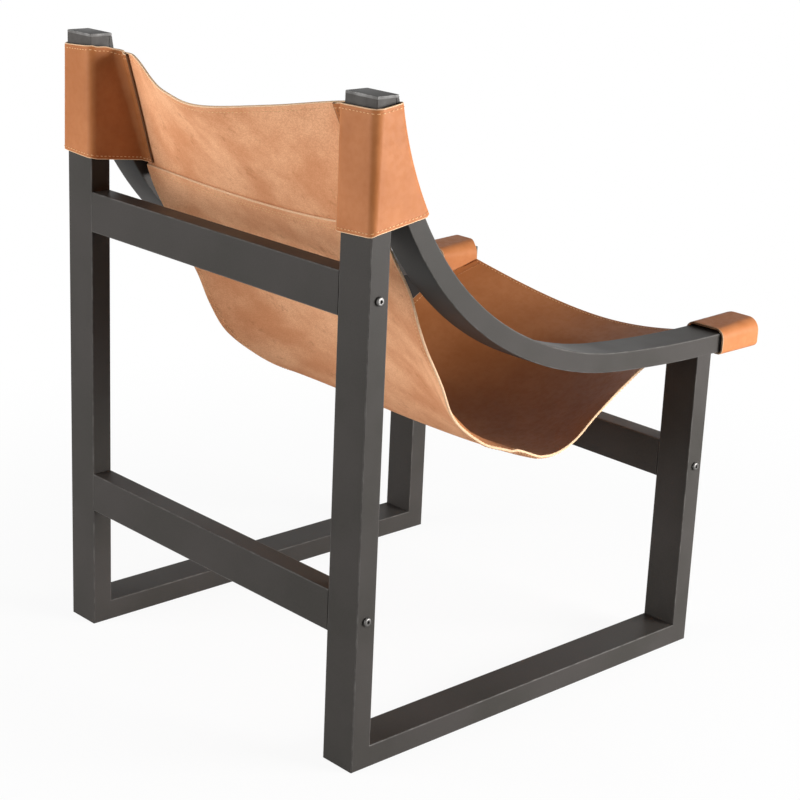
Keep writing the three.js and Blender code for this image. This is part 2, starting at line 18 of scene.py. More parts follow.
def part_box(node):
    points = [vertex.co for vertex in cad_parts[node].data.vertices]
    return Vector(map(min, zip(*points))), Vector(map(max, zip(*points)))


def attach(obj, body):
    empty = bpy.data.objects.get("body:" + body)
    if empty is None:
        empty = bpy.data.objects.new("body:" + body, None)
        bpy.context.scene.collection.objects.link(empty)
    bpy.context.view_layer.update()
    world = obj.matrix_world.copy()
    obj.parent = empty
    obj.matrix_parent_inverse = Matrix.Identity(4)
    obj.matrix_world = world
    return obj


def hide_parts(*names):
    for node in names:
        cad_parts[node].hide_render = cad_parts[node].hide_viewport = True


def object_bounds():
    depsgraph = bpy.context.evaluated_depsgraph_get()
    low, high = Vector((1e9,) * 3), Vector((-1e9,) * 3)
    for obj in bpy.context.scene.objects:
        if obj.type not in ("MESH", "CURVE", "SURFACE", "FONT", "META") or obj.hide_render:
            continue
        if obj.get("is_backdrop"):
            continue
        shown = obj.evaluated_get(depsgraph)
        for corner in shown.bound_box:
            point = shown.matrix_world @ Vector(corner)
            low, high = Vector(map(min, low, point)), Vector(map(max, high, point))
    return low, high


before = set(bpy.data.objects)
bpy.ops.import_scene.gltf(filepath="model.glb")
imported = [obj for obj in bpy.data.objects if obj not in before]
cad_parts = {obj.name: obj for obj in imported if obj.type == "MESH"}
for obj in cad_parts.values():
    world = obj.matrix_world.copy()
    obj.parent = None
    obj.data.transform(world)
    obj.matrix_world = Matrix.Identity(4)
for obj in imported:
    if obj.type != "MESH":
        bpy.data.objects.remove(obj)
cad_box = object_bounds()
print("CAD box", [round(x, 3) for x in (*cad_box[0], *cad_box[1])])

# %% [markdown]
# ## The camera
# The photograph looks down on the chair from behind its right side with a long lens.
# The three directions were solved from the corners of the frame, so they are used as
# they are, and no tilt has to be guessed.

# %% Camera
CAMERA_AT = (-1.73222, 1.66905, 1.08225)
CAMERA_RIGHT = (-0.67796, -0.73389, 0.04220)
CAMERA_UP = (0.25325, -0.17929, 0.95064)
CAMERA_BACK = (-0.69010, 0.65519, 0.30741)
LENS_MM = 87.74

camera = bpy.data.objects.new("camera", bpy.data.cameras.new("camera"))
bpy.context.scene.collection.objects.link(camera)
turn = Matrix((CAMERA_RIGHT, CAMERA_UP, CAMERA_BACK)).transposed()
camera.matrix_world = Matrix.Translation(CAMERA_AT) @ turn.to_4x4()
camera.data.lens = LENS_MM
camera.data.sensor_width = 36
bpy.context.scene.camera = camera
print("camera at", CAMERA_AT, "lens", LENS_MM)

# %% [markdown]
# ## Helpers for shapes
# Every new piece is a grid of points worked out as whole arrays. A closed ring's last
# column joins its first.

# %% Curves of one variable
SIDES = {"left": 1, "right": -1}


def between(pair, share):
    """The straight line from the pair's first value at share 0 to its second at 1."""
    return pair[0] + (pair[1] - pair[0]) * share


def eased(x, start, stop):
    """0 up to start, 1 from stop on, and 3 t^2 - 2 t^3 between them."""
    t = np.clip((x - start) / (stop - start), 0, 1)
    return t * t * (3 - 2 * t)


def plateau(x, a, b, c, d):
    """0 up to a, 1 from b to c and 0 again from d on, eased between them."""
    return eased(x, a, b) * (1 - eased(x, c, d))


def bell(x, middle, width):
    """1 at the middle, falling off as exp(-d^2) with d in widths."""
    return np.exp(-(((x - middle) / width) ** 2))


def girth(points):
    """Length along a line of points."""
    return float(np.linalg.norm(np.diff(points, axis=0), axis=1).sum())


# %% Grids to meshes
def make_piece(name, points, faces, materials, attributes=None):
    """A mesh object from an array of points and a list of faces."""
    mesh = bpy.data.meshes.new(name)
    mesh.from_pydata(points.reshape(-1, 3).tolist(), [], [list(f) for f in faces])
    for material in materials:
        mesh.materials.append(material)
    for key, values in (attributes or {}).items():
        attribute = mesh.attributes.new(key, "FLOAT", "POINT")
        attribute.data.foreach_set("value", np.asarray(values, np.float32).ravel())
    mesh.shade_smooth()
    piece = bpy.data.objects.new(name, mesh)
    bpy.context.scene.collection.objects.link(piece)
    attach(piece, "root")
    return piece


def turn_outwards(piece):
    """Turns the faces of a closed piece so that they all point out of it."""
    shape = bmesh.new()
    shape.from_mesh(piece.data)
    bmesh.ops.recalc_face_normals(shape, faces=shape.faces)
    shape.to_mesh(piece.data)
    shape.free()


def grid_quads(rows, columns, ring=False, kept=None):
    """Quads of a grid of points, row after row. `kept` is a mask of the cells."""
    j, i = np.indices((rows - 1, columns if ring else columns - 1))
    if kept is not None:
        j, i = j[kept], i[kept]
    j, i = j.ravel(), i.ravel()
    right = (i + 1) % columns
    low, high = j * columns, (j + 1) * columns
    return np.stack([low + i, low + right, high + right, high + i], 1)


# %% [markdown]
# ## Sizes taken from the frame
# The CAD nodes say where everything is, so the tube is measured from them and no
# size is typed twice. A forward distance is measured from the rear face of the posts.

# %% Sizes
POST_LOW, POST_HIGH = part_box("left_rear_post")
CAP_LOW, CAP_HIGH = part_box("left_post_cap")
PLATE_LOW, PLATE_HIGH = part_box("left_horn_end_plate")
REAR = POST_HIGH.y
POST_TOP, FRAME_TOP = CAP_LOW.z, CAP_HIGH.z
CAP_DEPTH = CAP_HIGH.y - CAP_LOW.y
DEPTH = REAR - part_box("left_front_leg")[0].y
HORN_REAR = REAR - PLATE_HIGH.y
ARM_LEVEL = (PLATE_LOW.z + PLATE_HIGH.z) / 2
HALF_WIDTH, CLEAR_HALF = POST_HIGH.x, POST_LOW.x
SIDE_MIDDLE = (HALF_WIDTH + CLEAR_HALF) / 2
print("depth", round(DEPTH, 4), "arm level", round(ARM_LEVEL, 4), "top", round(FRAME_TOP, 4))


def place(out, forward, up):
    """Points from distances out, forward and up, given as arrays or numbers."""
    out, forward, up = np.broadcast_arrays(out, forward, up)
    return np.stack([out, REAR - forward, up], -1)


# %% [markdown]
# ## The side frames' tube
# The tube is hot-rolled steel, 50 mm wide across the chair and 27 mm thin in side view.
# Real tube has rounded corners, and it is those corners that catch the thin light line
# along every edge. A plain box with a bevel would do, but a section carried along a
# path also gives the mitred ends and the bent arm from one formula.
#
# The steel above the pockets, from a little below the posts' tops, is paler than the
# rest. How much paler each point is goes into an attribute.

# %% Section of the tube
TUBE_WIDE = 0.050
TUBE_THIN = 0.027
ARM_THIN = 0.0244
CORNER = 0.0013
CORNER_STEPS = 5
# Share of the paler colour on the tube's corners: scuffed coat and a painted highlight along each
# edge.
CORNER_WEAR_AND_HIGHLIGHT, LEAST_CORNER_SHARE = 0.32, 0.35
FLAT_MARGIN = 0.0006
SHARP = math.radians(40)
PALER_TOP_FROM = POST_TOP - 0.024
PALER_TOP_FADE = 0.012
PALER_TOP_SHARE = 0.17


def rounded_section(wide, thin):
    """Points round a rectangle with rounded corners, and the paler share of each of them.

    Each corner is a quarter circle with a point a little way along each flat beside it,
    so that the smooth shading of the corner stops there. The paler share stands for
    scuffed coat and a painted highlight. It follows the sine across the corner, but not
    below its least share, and is none on the flats.
    """
    angles = np.linspace(0, np.pi / 2, CORNER_STEPS + 1)
    points, finish_and_light = [], []
    for k, (sx, sy) in enumerate([(1, 1), (-1, 1), (-1, -1), (1, -1)]):
        centre = np.array([sx * (wide / 2 - CORNER), sy * (thin / 2 - CORNER)])
        a = angles + k * np.pi / 2
        arc = centre + CORNER * np.stack([np.cos(a), np.sin(a)], 1)
        along = FLAT_MARGIN * np.stack([-np.sin(a), np.cos(a)], 1)
        points += [arc[0] - along[0], *arc, arc[-1] + along[-1]]
        finish_and_light += [0, *(CORNER_WEAR_AND_HIGHLIGHT * np.sin(2 * angles).clip(LEAST_CORNER_SHARE, 1)), 0]
    return np.array(points), np.array(finish_and_light)


def with_paler_top(rings, finish_and_light):
    """The paler share of a section along its rings, and more of it near the posts' tops."""
    top_share = PALER_TOP_SHARE * eased(rings[..., 2], PALER_TOP_FROM - PALER_TOP_FADE, PALER_TOP_FROM)
    return np.maximum(finish_and_light, top_share)


def tube_piece(name, rings, finish_and_light, material, node):
    """A closed tube from a stack of rings, its ends filled flat, in place of a CAD node."""
    count, around = rings.shape[:2]
    faces = grid_quads(count, around, ring=True).tolist()
    faces.append(list(range(around))[::-1])
    faces.append(list(range((count - 1) * around, count * around)))
    finish_and_light = np.broadcast_to(finish_and_light, (count, around))
    # The attribute holds how much paler each point is: scuffed coat and painted highlight.
    piece = make_piece(name, rings, faces, [material], attributes={"finish_and_light": finish_and_light})
    turn_outwards(piece)
    piece.data.set_sharp_from_angle(angle=SHARP)
    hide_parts(node)


# %% [markdown]
# ## Materials
# Each finish is built from nodes and reads the object's own coordinates, so its grain
# stays put when the camera moves. Colours are sRGB hex values, as a paint chart gives
# them. A noise texture's scale is about its number of blobs in a metre.

# %% Colours and nodes
SMOOTH = {"interpolation_type": "SMOOTHSTEP"}
COLOURS = {"data_type": "RGBA", "output": 2}


def linear(hex_value):
    """An sRGB hex colour as linear red, green, blue and alpha."""
    srgb = np.array([(hex_value >> shift & 255) / 255 for shift in (16, 8, 0)])
    low, high = srgb / 12.92, ((srgb + 0.055) / 1.055) ** 2.4
    return (*np.where(srgb <= 0.04045, low, high).tolist(), 1.0)


def add_node(tree, kind, inputs=None, output=0, **settings):
    """Adds a node with its settings, each input set to a value or linked to a socket.

    Returns one of its output sockets, for the next node to take as an input. In a Mix
    node the inputs 0, 6 and 7 are the share and the two colours. In a Map Range node
    0 is the value, 1 and 2 the range it has, and 3 and 4 the range it gets.
    """
    node = tree.nodes.new("ShaderNode" + kind)
    for name, value in settings.items():
        setattr(node, name, value)
    for name, value in (inputs or {}).items():
        if isinstance(value, bpy.types.NodeSocket):
            tree.links.new(value, node.inputs[name])
        else:
            node.inputs[name].default_value = value
    return node.outputs[output] if len(node.outputs) else None


def new_material(name, *patterns):
    """A material, its emptied node tree, the object's coordinates and noise patterns.

    A pattern is a noise texture's scale, detail and roughness. Where two more numbers
    follow, they are the range of the noise that is spread smoothly over 0 to 1.
    """
    material = bpy.data.materials.new(name)
    material.use_nodes = True
    tree = material.node_tree
    tree.nodes.clear()
    here = add_node(tree, "TexCoord", output="Object")
    made = []
    for scale, detail, roughness, *limits in patterns:
        noise = {"Vector": here, "Scale": scale, "Detail": detail, "Roughness": roughness}
        noise = add_node(tree, "TexNoise", noise)
        if limits:
            noise = add_node(tree, "MapRange", {0: noise, 1: limits[0], 2: limits[1]}, **SMOOTH)
        made.append(noise)
    return material, tree, here, *made


# %% [markdown]
# ## Painted steel
# The frame is mild steel under a powder coat: a dry polymer powder baked to a skin a
# tenth of a millimetre thick. It gives a dark warm grey that is neither matt nor
# glossy, with a very fine orange-peel texture. On the rounded corners the coat is
# thinner and gets scuffed, and a painted highlight is laid over them, so these read a
# little lighter.

# %% Powder-coated steel
def powder_coated_steel(name, low, high, speck, edge_wear_and_highlight):
    """Dark grey powder coat: orange peel about 0.8 mm, drawn at 1.5 mm to show."""
    patterns = (9, 3, 0.55, 0.3, 0.7), (900, 2, 0.55, 0.35, 0.65), (60, 4, 0.55), (650, 1, 0.55)
    material, tree, _, clouds, grain, patches, peel = new_material(name, *patterns)
    specks = add_node(tree, "MapRange", {0: grain, 4: 0.22}, **SMOOTH)
    base = add_node(tree, "Mix", {0: clouds, 6: linear(low), 7: linear(high)}, **COLOURS)
    base = add_node(tree, "Mix", {0: specks, 6: base, 7: linear(speck)}, **COLOURS)
    # The paler colour on corners and caps is partly scuffed coat and partly painted highlight.
    finish_and_light = add_node(tree, "Attribute", output="Fac", attribute_name="finish_and_light")
    patchy_edge_share = add_node(tree, "MapRange", {0: patches, 1: 0.35, 2: 0.7, 3: 0.3, 4: 0.95}, **SMOOTH)
    edge = add_node(tree, "Math", {0: finish_and_light, 1: patchy_edge_share}, operation="MULTIPLY")
    colour = add_node(tree, "Mix", {0: edge, 6: base, 7: linear(edge_wear_and_highlight)}, **COLOURS)
    bump = add_node(tree, "Bump", {"Height": peel, "Distance": 0.00006, "Strength": 0.5})
    rough = add_node(tree, "MapRange", {0: clouds, 3: 0.38, 4: 0.46}, **SMOOTH)
    surface = {"Base Color": colour, "Roughness": rough, "Specular IOR Level": 0.06, "Normal": bump}
    add_node(tree, "OutputMaterial", {"Surface": add_node(tree, "BsdfPrincipled", surface)})
    return material


PAINTED_STEEL = powder_coated_steel("powder_coated_steel", 0x34322F, 0x3A3735, 0x46423F, 0x8C8986)
# The cap's paler colour is a painted highlight for its eased edges and wall.
CAP_STEEL = powder_coated_steel("powder_coated_cap_steel", 0x383634, 0x3F3D3B, 0x4A4744, 0xBAB8B6)


# %% Steel of the screws and plates
def machined_steel(name, hex_value, roughness):
    """Steel with no paint: tool or rolling marks 0.2 mm apart, drawn at 0.5 mm to show."""
    material, tree, _, marks = new_material(name, (2000, 2, 0.55))
    shade = add_node(tree, "MapRange", {0: marks, 1: 0.3, 2: 0.7}, **SMOOTH)
    tint = add_node(tree, "Mix", {0: shade, 6: linear(hex_value), 7: linear(0x5A5856)}, **COLOURS)
    limits = {3: roughness - 0.06, 4: roughness + 0.08}
    rough = add_node(tree, "MapRange", {0: marks, 1: 0.2, 2: 0.8, **limits}, **SMOOTH)
    surface = {"Base Color": tint, "Metallic": 1.0, "Roughness": rough}
    add_node(tree, "OutputMaterial", {"Surface": add_node(tree, "BsdfPrincipled", surface)})
    return material


# The screws are turned and plated with black zinc. The plates are bare rolled steel.
SCREW_STEEL = machined_steel("black_zinc_screw_steel", 0x6B6967, 0.4)
PLATE_STEEL = machined_steel("cold_rolled_plate_steel", 0x9A9896, 0.45)

# %% [markdown]
# ## Saddle leather
# The sling is one thick hide, about 3 mm, tanned with bark and dyed tan. Its two sides
# differ: the grain side, which was the skin's outside, is smooth with fine pores and a
# soft shine; the flesh side is fibrous, paler and matt. The cut edge shows the pale
# middle of the hide. So the leather has three materials, one for each.

# %% Grain side
def leather_grain():
    """The hide's outside: pores and creases about 1 mm, a waxed and brushed finish."""
    patterns = (14, 4, 0.55, 0.3, 0.72), (130, 3, 0.55, 0.35, 0.7), (55, 3, 0.55)
    material, tree, here, clouds, spots, swell = new_material("leather_grain_side", *patterns)
    faint = add_node(tree, "MapRange", {0: spots, 4: 0.15}, **SMOOTH)
    colour = add_node(tree, "Mix", {0: clouds, 6: linear(0x9B5F35), 7: linear(0xA96C42)}, **COLOURS)
    colour = add_node(tree, "Mix", {0: faint, 6: colour, 7: linear(0x8E5229)}, **COLOURS)
    pores = {"Vector": here, "Scale": 620.0}
    pores = add_node(tree, "TexVoronoi", pores, "Distance", feature="DISTANCE_TO_EDGE")
    pebble = add_node(tree, "MapRange", {0: pores, 2: 0.25}, **SMOOTH)
    height = add_node(tree, "Math", {0: swell, 1: 6.0, 2: pebble}, operation="MULTIPLY_ADD")
    bump = add_node(tree, "Bump", {"Height": height, "Distance": 0.00008, "Strength": 0.45})
    rough = add_node(tree, "MapRange", {0: spots, 3: 0.44, 4: 0.52}, **SMOOTH)
    surface = {"Base Color": colour, "Roughness": rough, "Specular IOR Level": 0.11, "Normal": bump}
    add_node(tree, "OutputMaterial", {"Surface": add_node(tree, "BsdfPrincipled", surface)})
    return material


# %% Flesh side
def leather_flesh():
    """The hide's inside: a short nap of fibres about 0.4 mm, drawn at 1 mm, and stains."""
    patterns = (11, 5, 0.6, 0.32, 0.7), (520, 3, 0.7, 0.3, 0.7), (26, 8, 0.72, 0.54, 0.7)
    material, tree, _, clouds, fibres, stains = new_material("leather_flesh_side", *patterns)
    nap = add_node(tree, "MapRange", {0: fibres, 4: 0.4}, **SMOOTH)
    faint = add_node(tree, "MapRange", {0: stains, 4: 0.5}, **SMOOTH)
    colour = add_node(tree, "Mix", {0: clouds, 6: linear(0xCB8D65), 7: linear(0xEAB48C)}, **COLOURS)
    colour = add_node(tree, "Mix", {0: nap, 6: colour, 7: linear(0xB4754B)}, **COLOURS)
    colour = add_node(tree, "Mix", {0: faint, 6: colour, 7: linear(0xA46B44)}, **COLOURS)
    bump = add_node(tree, "Bump", {"Height": fibres, "Distance": 0.00025, "Strength": 0.6})
    surface = {"Base Color": colour, "Roughness": 0.9, "Specular IOR Level": 0.08, "Normal": bump}
    add_node(tree, "OutputMaterial", {"Surface": add_node(tree, "BsdfPrincipled", surface)})
    return material


# %% Cut edge
def leather_edge():
    """The cut through the hide: pale packed fibres, darker where the edge has a burnish.

    On the flaps' free edges the dark share is also painted shade.
    """
    material, tree, _, fibres = new_material("leather_cut_edge", (700, 3, 0.7, 0.3, 0.7))
    colour = add_node(tree, "Mix", {0: fibres, 6: linear(0xD4AC88), 7: linear(0xE8C8A6)}, **COLOURS)
    dark = add_node(tree, "Attribute", output="Fac", attribute_name="burnish_and_shade")
    colour = add_node(tree, "Mix", {0: dark, 6: colour, 7: linear(0x4A2A14)}, **COLOURS)
    bump = add_node(tree, "Bump", {"Height": fibres, "Distance": 0.0002, "Strength": 0.5})
    surface = {"Base Color": colour, "Roughness": 0.75, "Specular IOR Level": 0.03, "Normal": bump}
    add_node(tree, "OutputMaterial", {"Surface": add_node(tree, "BsdfPrincipled", surface)})
    return material


HIDE = [leather_grain(), leather_flesh(), leather_edge()]


# %% Thread
def waxed_thread(name, low, high):
    """Waxed linen thread: three plies twisted, 0.3 mm apart, drawn at 0.7 mm, soft shine."""
    material, tree, _, plies = new_material(name, (1500, 1, 0.55, 0.35, 0.65))
    colour = add_node(tree, "Mix", {0: plies, 6: linear(low), 7: linear(high)}, **COLOURS)
    rough = add_node(tree, "MapRange", {0: plies, 3: 0.5, 4: 0.62}, **SMOOTH)
    surface = {"Base Color": colour, "Roughness": rough, "Specular IOR Level": 0.3}
    add_node(tree, "OutputMaterial", {"Surface": add_node(tree, "BsdfPrincipled", surface)})
    return material


THREAD = waxed_thread("straw_waxed_thread", 0xD0A270, 0xE8BE8E)
# The brown thread goes on the flaps and sleeves. Its darkness partly paints the shade over the
# flaps' stitches.
BROWN_SHADE_THREAD = waxed_thread("brown_waxed_thread_painted_shade", 0x8A5A36, 0xA06C42)
print("materials", [m.name for m in bpy.data.materials if m.users])

# %% [markdown]
# ## Posts, floor rails and front legs
# The three tubes of a side frame meet at 45 degree mitres whose welds were ground
# flush, so the corners show no line. Each tube is its rounded section, and the mitre is
# only a slope given to its end rings. Under the arm the leg's end follows the arm's
# rounded lower edge, which fills the groove there as a ground weld does.

# %% Side frame tubes
SECTION, SECTION_WEAR_AND_HIGHLIGHT = rounded_section(TUBE_WIDE, TUBE_THIN)
ARM_SECTION, ARM_SECTION_WEAR_AND_HIGHLIGHT = rounded_section(TUBE_WIDE, ARM_THIN)


def upright_rings(middle, forward, *heights):
    """Rings of an upright tube at heights that are numbers or one for each point."""
    across, depth = SECTION.T
    return np.stack([place(middle + across, forward + depth, up) for up in heights])


def side_tubes(side, middle):
    """The post, floor rail and front leg of one side frame.

    A mitre's height is its forward distance. The leg's top is the arm's underside, and
    rises round its lower corners by r - sqrt(r^2 - d^2), d being the way into a corner.
    """
    across, depth = SECTION.T
    mitre = TUBE_THIN / 2 + depth
    into = np.clip(np.abs(across) - (TUBE_WIDE / 2 - CORNER), 0, CORNER)
    flush = ARM_LEVEL - ARM_THIN / 2 + CORNER - np.sqrt(CORNER**2 - into**2)
    ends = [place(middle + across, forward, mitre) for forward in (mitre, DEPTH - mitre)]
    levels = (PALER_TOP_FROM - PALER_TOP_FADE, PALER_TOP_FROM, POST_TOP)
    made = {
        "rear_post": upright_rings(middle, TUBE_THIN / 2, mitre, *levels),
        "front_leg": upright_rings(middle, DEPTH - TUBE_THIN / 2, TUBE_THIN - mitre, flush),
        "floor_rail": np.stack(ends),
    }
    for part, rings in made.items():
        finish_and_light, node = with_paler_top(rings, SECTION_WEAR_AND_HIGHLIGHT), f"{side}_{part}"
        tube_piece(f"{node}_tube", rings, finish_and_light, PAINTED_STEEL, node)


for side, sign in SIDES.items():
    side_tubes(side, sign * SIDE_MIDDLE)
print("side frame tubes made")

# %% [markdown]
# ## Arms
# Each arm is the same kind of tube rolled to a bend: level over the front leg, then
# three arcs of tighter and tighter radius that turn it up against the post, where it is
# ground away to a wedge. The path is exact arcs, and each ring of the section stands
# square to it. Points that would fall inside the post are held at the post's face.

# %% Arms
BEND_RADII = (3.22 * DEPTH, 0.8305 * DEPTH)
BEND_TURNS = (math.radians(5.5), math.radians(22.5))
BEND_STEPS, LAST_STEPS = 24, 60
RUN_ON = 0.004


def arm_path():
    """Forward, up and slope along the middle of the arm, from its front end to its top.

    An arc of radius r from slope a to slope b moves the point by r (sin b - sin a) to
    the rear and by r (cos a - cos b) upwards. The last radius is the one that brings
    the arm's front face to the cap's front edge, and that arc runs on a little above.
    """
    forward, up, slope = [np.array([HORN_REAR, DEPTH])], [np.full(2, ARM_LEVEL)], [np.zeros(2)]
    at, level, angle = DEPTH, ARM_LEVEL, 0.0
    half = ARM_THIN / 2

    def arc(radius, turn, steps):
        nonlocal at, level, angle
        a = angle + np.linspace(0, turn, steps + 1)[1:]
        forward.append(at - radius * (np.sin(a) - np.sin(angle)))
        up.append(level + radius * (np.cos(angle) - np.cos(a)))
        slope.append(a)
        at, level, angle = forward[-1][-1], up[-1][-1], a[-1]

    for radius, turn in zip(BEND_RADII, BEND_TURNS):
        arc(radius, turn, BEND_STEPS)
    reach = np.array([CAP_DEPTH - at, POST_TOP - level])
    square = np.array([math.sin(angle), math.cos(angle)])
    radius = (reach @ reach - half**2) / (2 * (reach @ square - half))
    centre = (at + radius * math.sin(angle), level + radius * math.cos(angle), radius)
    last = math.pi / 2 + math.asin((POST_TOP + RUN_ON - centre[1]) / (radius - half))
    arc(radius, last - angle, LAST_STEPS)
    return (*map(np.concatenate, (forward, up, slope)), centre)


ARM_FORWARD, ARM_UP, ARM_SLOPE, LAST_ARC = arm_path()


def arm_rings(middle):
    """Section points at out = across, and at h times the arm's square direction."""
    across, h = ARM_SECTION.T
    forward = ARM_FORWARD[:, None] + h * np.sin(ARM_SLOPE)[:, None]
    up = ARM_UP[:, None] + h * np.cos(ARM_SLOPE)[:, None]
    return place(middle + across, np.maximum(forward, TUBE_THIN), np.minimum(up, POST_TOP))


for side, sign in SIDES.items():
    rings = arm_rings(sign * SIDE_MIDDLE)
    finish_and_light = with_paler_top(rings, ARM_SECTION_WEAR_AND_HIGHLIGHT)
    tube_piece(f"{side}_arm_tube", rings, finish_and_light, PAINTED_STEEL, f"{side}_arm")
print("arm rises from", round(ARM_UP[0], 4), "to", round(ARM_UP.max(), 4))

# %% [markdown]
# ## Caps and cross rails
# A plate closes the top of each post and of the arm's wedge. Its edges were eased with
# a file. Their shine and the plate's lighter wall are painted on as a paler colour. The
# cross rails are straight lengths of the same tube.

# %% Caps
CAP_STEPS = 4
CAP_EASE = 0.7 * CORNER
# Painted highlight in the cap's rings: the wall, the bright eased edge, the coated top.
CAP_HIGHLIGHT_SHARES = np.array([0.4, 0.4, 0.6, 1.0, 0.6, 0.02])[:, None]
CAP_HIGHLIT_RINGS = CAP_HIGHLIGHT_SHARES > 0.3


def cap_rings(middle, outline):
    """Rings of the cap from its underside up its wall, then round its eased top edge.

    Round the edge a ring is drawn in by e (1 - cos a) and lifted by e sin a, where e is
    the ease and a goes through a quarter turn.
    """
    turn = np.linspace(0, np.pi / 2, CAP_STEPS + 1)
    inset = np.concatenate([[0], CAP_EASE * (1 - np.cos(turn))])
    height = np.concatenate([[POST_TOP], FRAME_TOP - CAP_EASE + CAP_EASE * np.sin(turn)])
    shrink = 1 - 2 * inset[:, None] / np.array([TUBE_WIDE, CAP_DEPTH])
    plan = outline[None] * shrink[:, None, :]
    return place(middle + plan[..., 0], CAP_DEPTH / 2 + plan[..., 1], height[:, None])


cap_outline, corner_highlight = rounded_section(TUBE_WIDE, CAP_DEPTH)
# The cap's upright corners get a painted highlight too.
cap_highlight = np.maximum(CAP_HIGHLIGHT_SHARES, CAP_HIGHLIT_RINGS * 2 * corner_highlight)
for side, sign in SIDES.items():
    rings, node = cap_rings(sign * SIDE_MIDDLE, cap_outline), f"{side}_post_cap"
    tube_piece(f"{side}_cap_plate", rings, cap_highlight, CAP_STEEL, node)


# %% Cross rails and fasteners
def rail_rings(low, high):
    """Rings of a level tube across the chair, between a CAD node's two corners."""
    section, _ = rounded_section(high.z - low.z, high.y - low.y)
    up = (low.z + high.z) / 2 + section[:, 0]
    back = (low.y + high.y) / 2 + section[:, 1]
    return np.stack([np.stack([np.full_like(up, x), back, up], -1) for x in (low.x, high.x)])


for node in ("lower_back_rail", "upper_back_rail", "front_rail"):
    rings = rail_rings(*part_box(node))
    tube_piece(f"{node}_tube", rings, SECTION_WEAR_AND_HIGHLIGHT, PAINTED_STEEL, node)

FINISHES = {
    "_screw": SCREW_STEEL,
    "_rail_left_plate": PLATE_STEEL,
    "_rail_right_plate": PLATE_STEEL,
    "_horn_end_plate": PAINTED_STEEL,
}
for ending, finish in FINISHES.items():
    for node in (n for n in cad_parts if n.endswith(ending)):
        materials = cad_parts[node].data.materials
        materials.clear()
        materials.append(finish)
print("rails, caps and fasteners dressed")

# %% [markdown]
# ## The sling as one surface
# Leather this thick does not fold like cloth: it bends in one direction at a time and
# hangs in a trough between the two arms. So the sling is a surface with two parameters:
# `across`, from 1 at the left edge to -1 at the right, and `station`, from 0 at the
# back's top edge over the seam at 2 to the seat's front edge at 18. A cloth simulation
# would have to be fought into this shape; a formula holds it exactly.

# %% Stations of the sling
# Both tables were fitted by least squares to points read off the photograph, then
# rounded, and a few values of their last rows set one by one. Side edge, one row a station:
# shares of half the clear width, of the frame's depth forward of the posts' rear face,
# and of its height.
SIDE_EDGE = np.array([
    [0.965, 0.063, 0.978],
    [0.965, 0.101, 0.88],
    [0.954, 0.133, 0.791],
    [0.967, 0.175, 0.718],
    [0.965, 0.216, 0.652],
    [0.954, 0.26, 0.594],
    [0.956, 0.295, 0.538],
    [0.94, 0.334, 0.487],
    [0.922, 0.394, 0.446],
    [0.941, 0.471, 0.411],
    [0.963, 0.552, 0.387],
    [0.959, 0.627, 0.377],
    [0.941, 0.7, 0.388],
    [0.918, 0.777, 0.42],
    [0.918, 0.86, 0.458],
    [0.93, 0.942, 0.49],
    [0.974, 1.024, 0.501],
    [0.983, 1.088, 0.512],
    [0.984, 1.148, 0.522],
]) * (CLEAR_HALF, DEPTH, FRAME_TOP)
# Middle: forward and height shares, the power of the section, and how much the stiff
# band beside the edge holds its level.
MIDDLE_LINE = np.array([
    [-0.043, 0.939, 0.731, 0.061],
    [0.06, 0.853, 1.284, 0.077],
    [0.146, 0.779, 1.776, 0.079],
    [0.214, 0.714, 2.294, 0.05],
    [0.271, 0.655, 2.699, 0.017],
    [0.323, 0.598, 2.945, -0.009],
    [0.375, 0.545, 3.035, -0.021],
    [0.427, 0.494, 2.999, -0.023],
    [0.482, 0.444, 2.858, -0.024],
    [0.538, 0.398, 2.637, -0.02],
    [0.599, 0.358, 2.417, -0.015],
    [0.67, 0.333, 2.316, -0.022],
    [0.753, 0.333, 2.285, -0.023],
    [0.84, 0.352, 2.238, -0.024],
    [0.924, 0.383, 2.149, -0.021],
    [1.003, 0.416, 2.026, -0.011],
    [1.074, 0.441, 1.9, 0],
    [1.137, 0.455, 1.82, 0],
    [1.196, 0.467, 1.75, 0],
]) * (DEPTH, FRAME_TOP, 1, 1)
ROUNDING = 0.25
STIFF_REACH = 0.5
SEAM_STATION = 2
BACK_END_STATION = 2.3
SLEEVE_STATION = 16
FRONT_STATION = 18
NUDGE = 0.002


def through(table, station):
    """A smooth curve through a table's rows, one row a station.

    It is a cubic from row to row, and at each row it runs along its neighbours' chord.
    """
    rows = np.vstack([2 * table[0] - table[1], table, 2 * table[-1] - table[-2]])
    i = np.clip(np.floor(station).astype(int), 0, len(table) - 2)
    t = (station - i)[..., None]
    a, b, c, d = rows[i], rows[i + 1], rows[i + 2], rows[i + 3]
    square, cube = 2 * a - 5 * b + 4 * c - d, 3 * b - a - 3 * c + d
    return 0.5 * (2 * b + (c - a) * t + square * t**2 + cube * t**3)


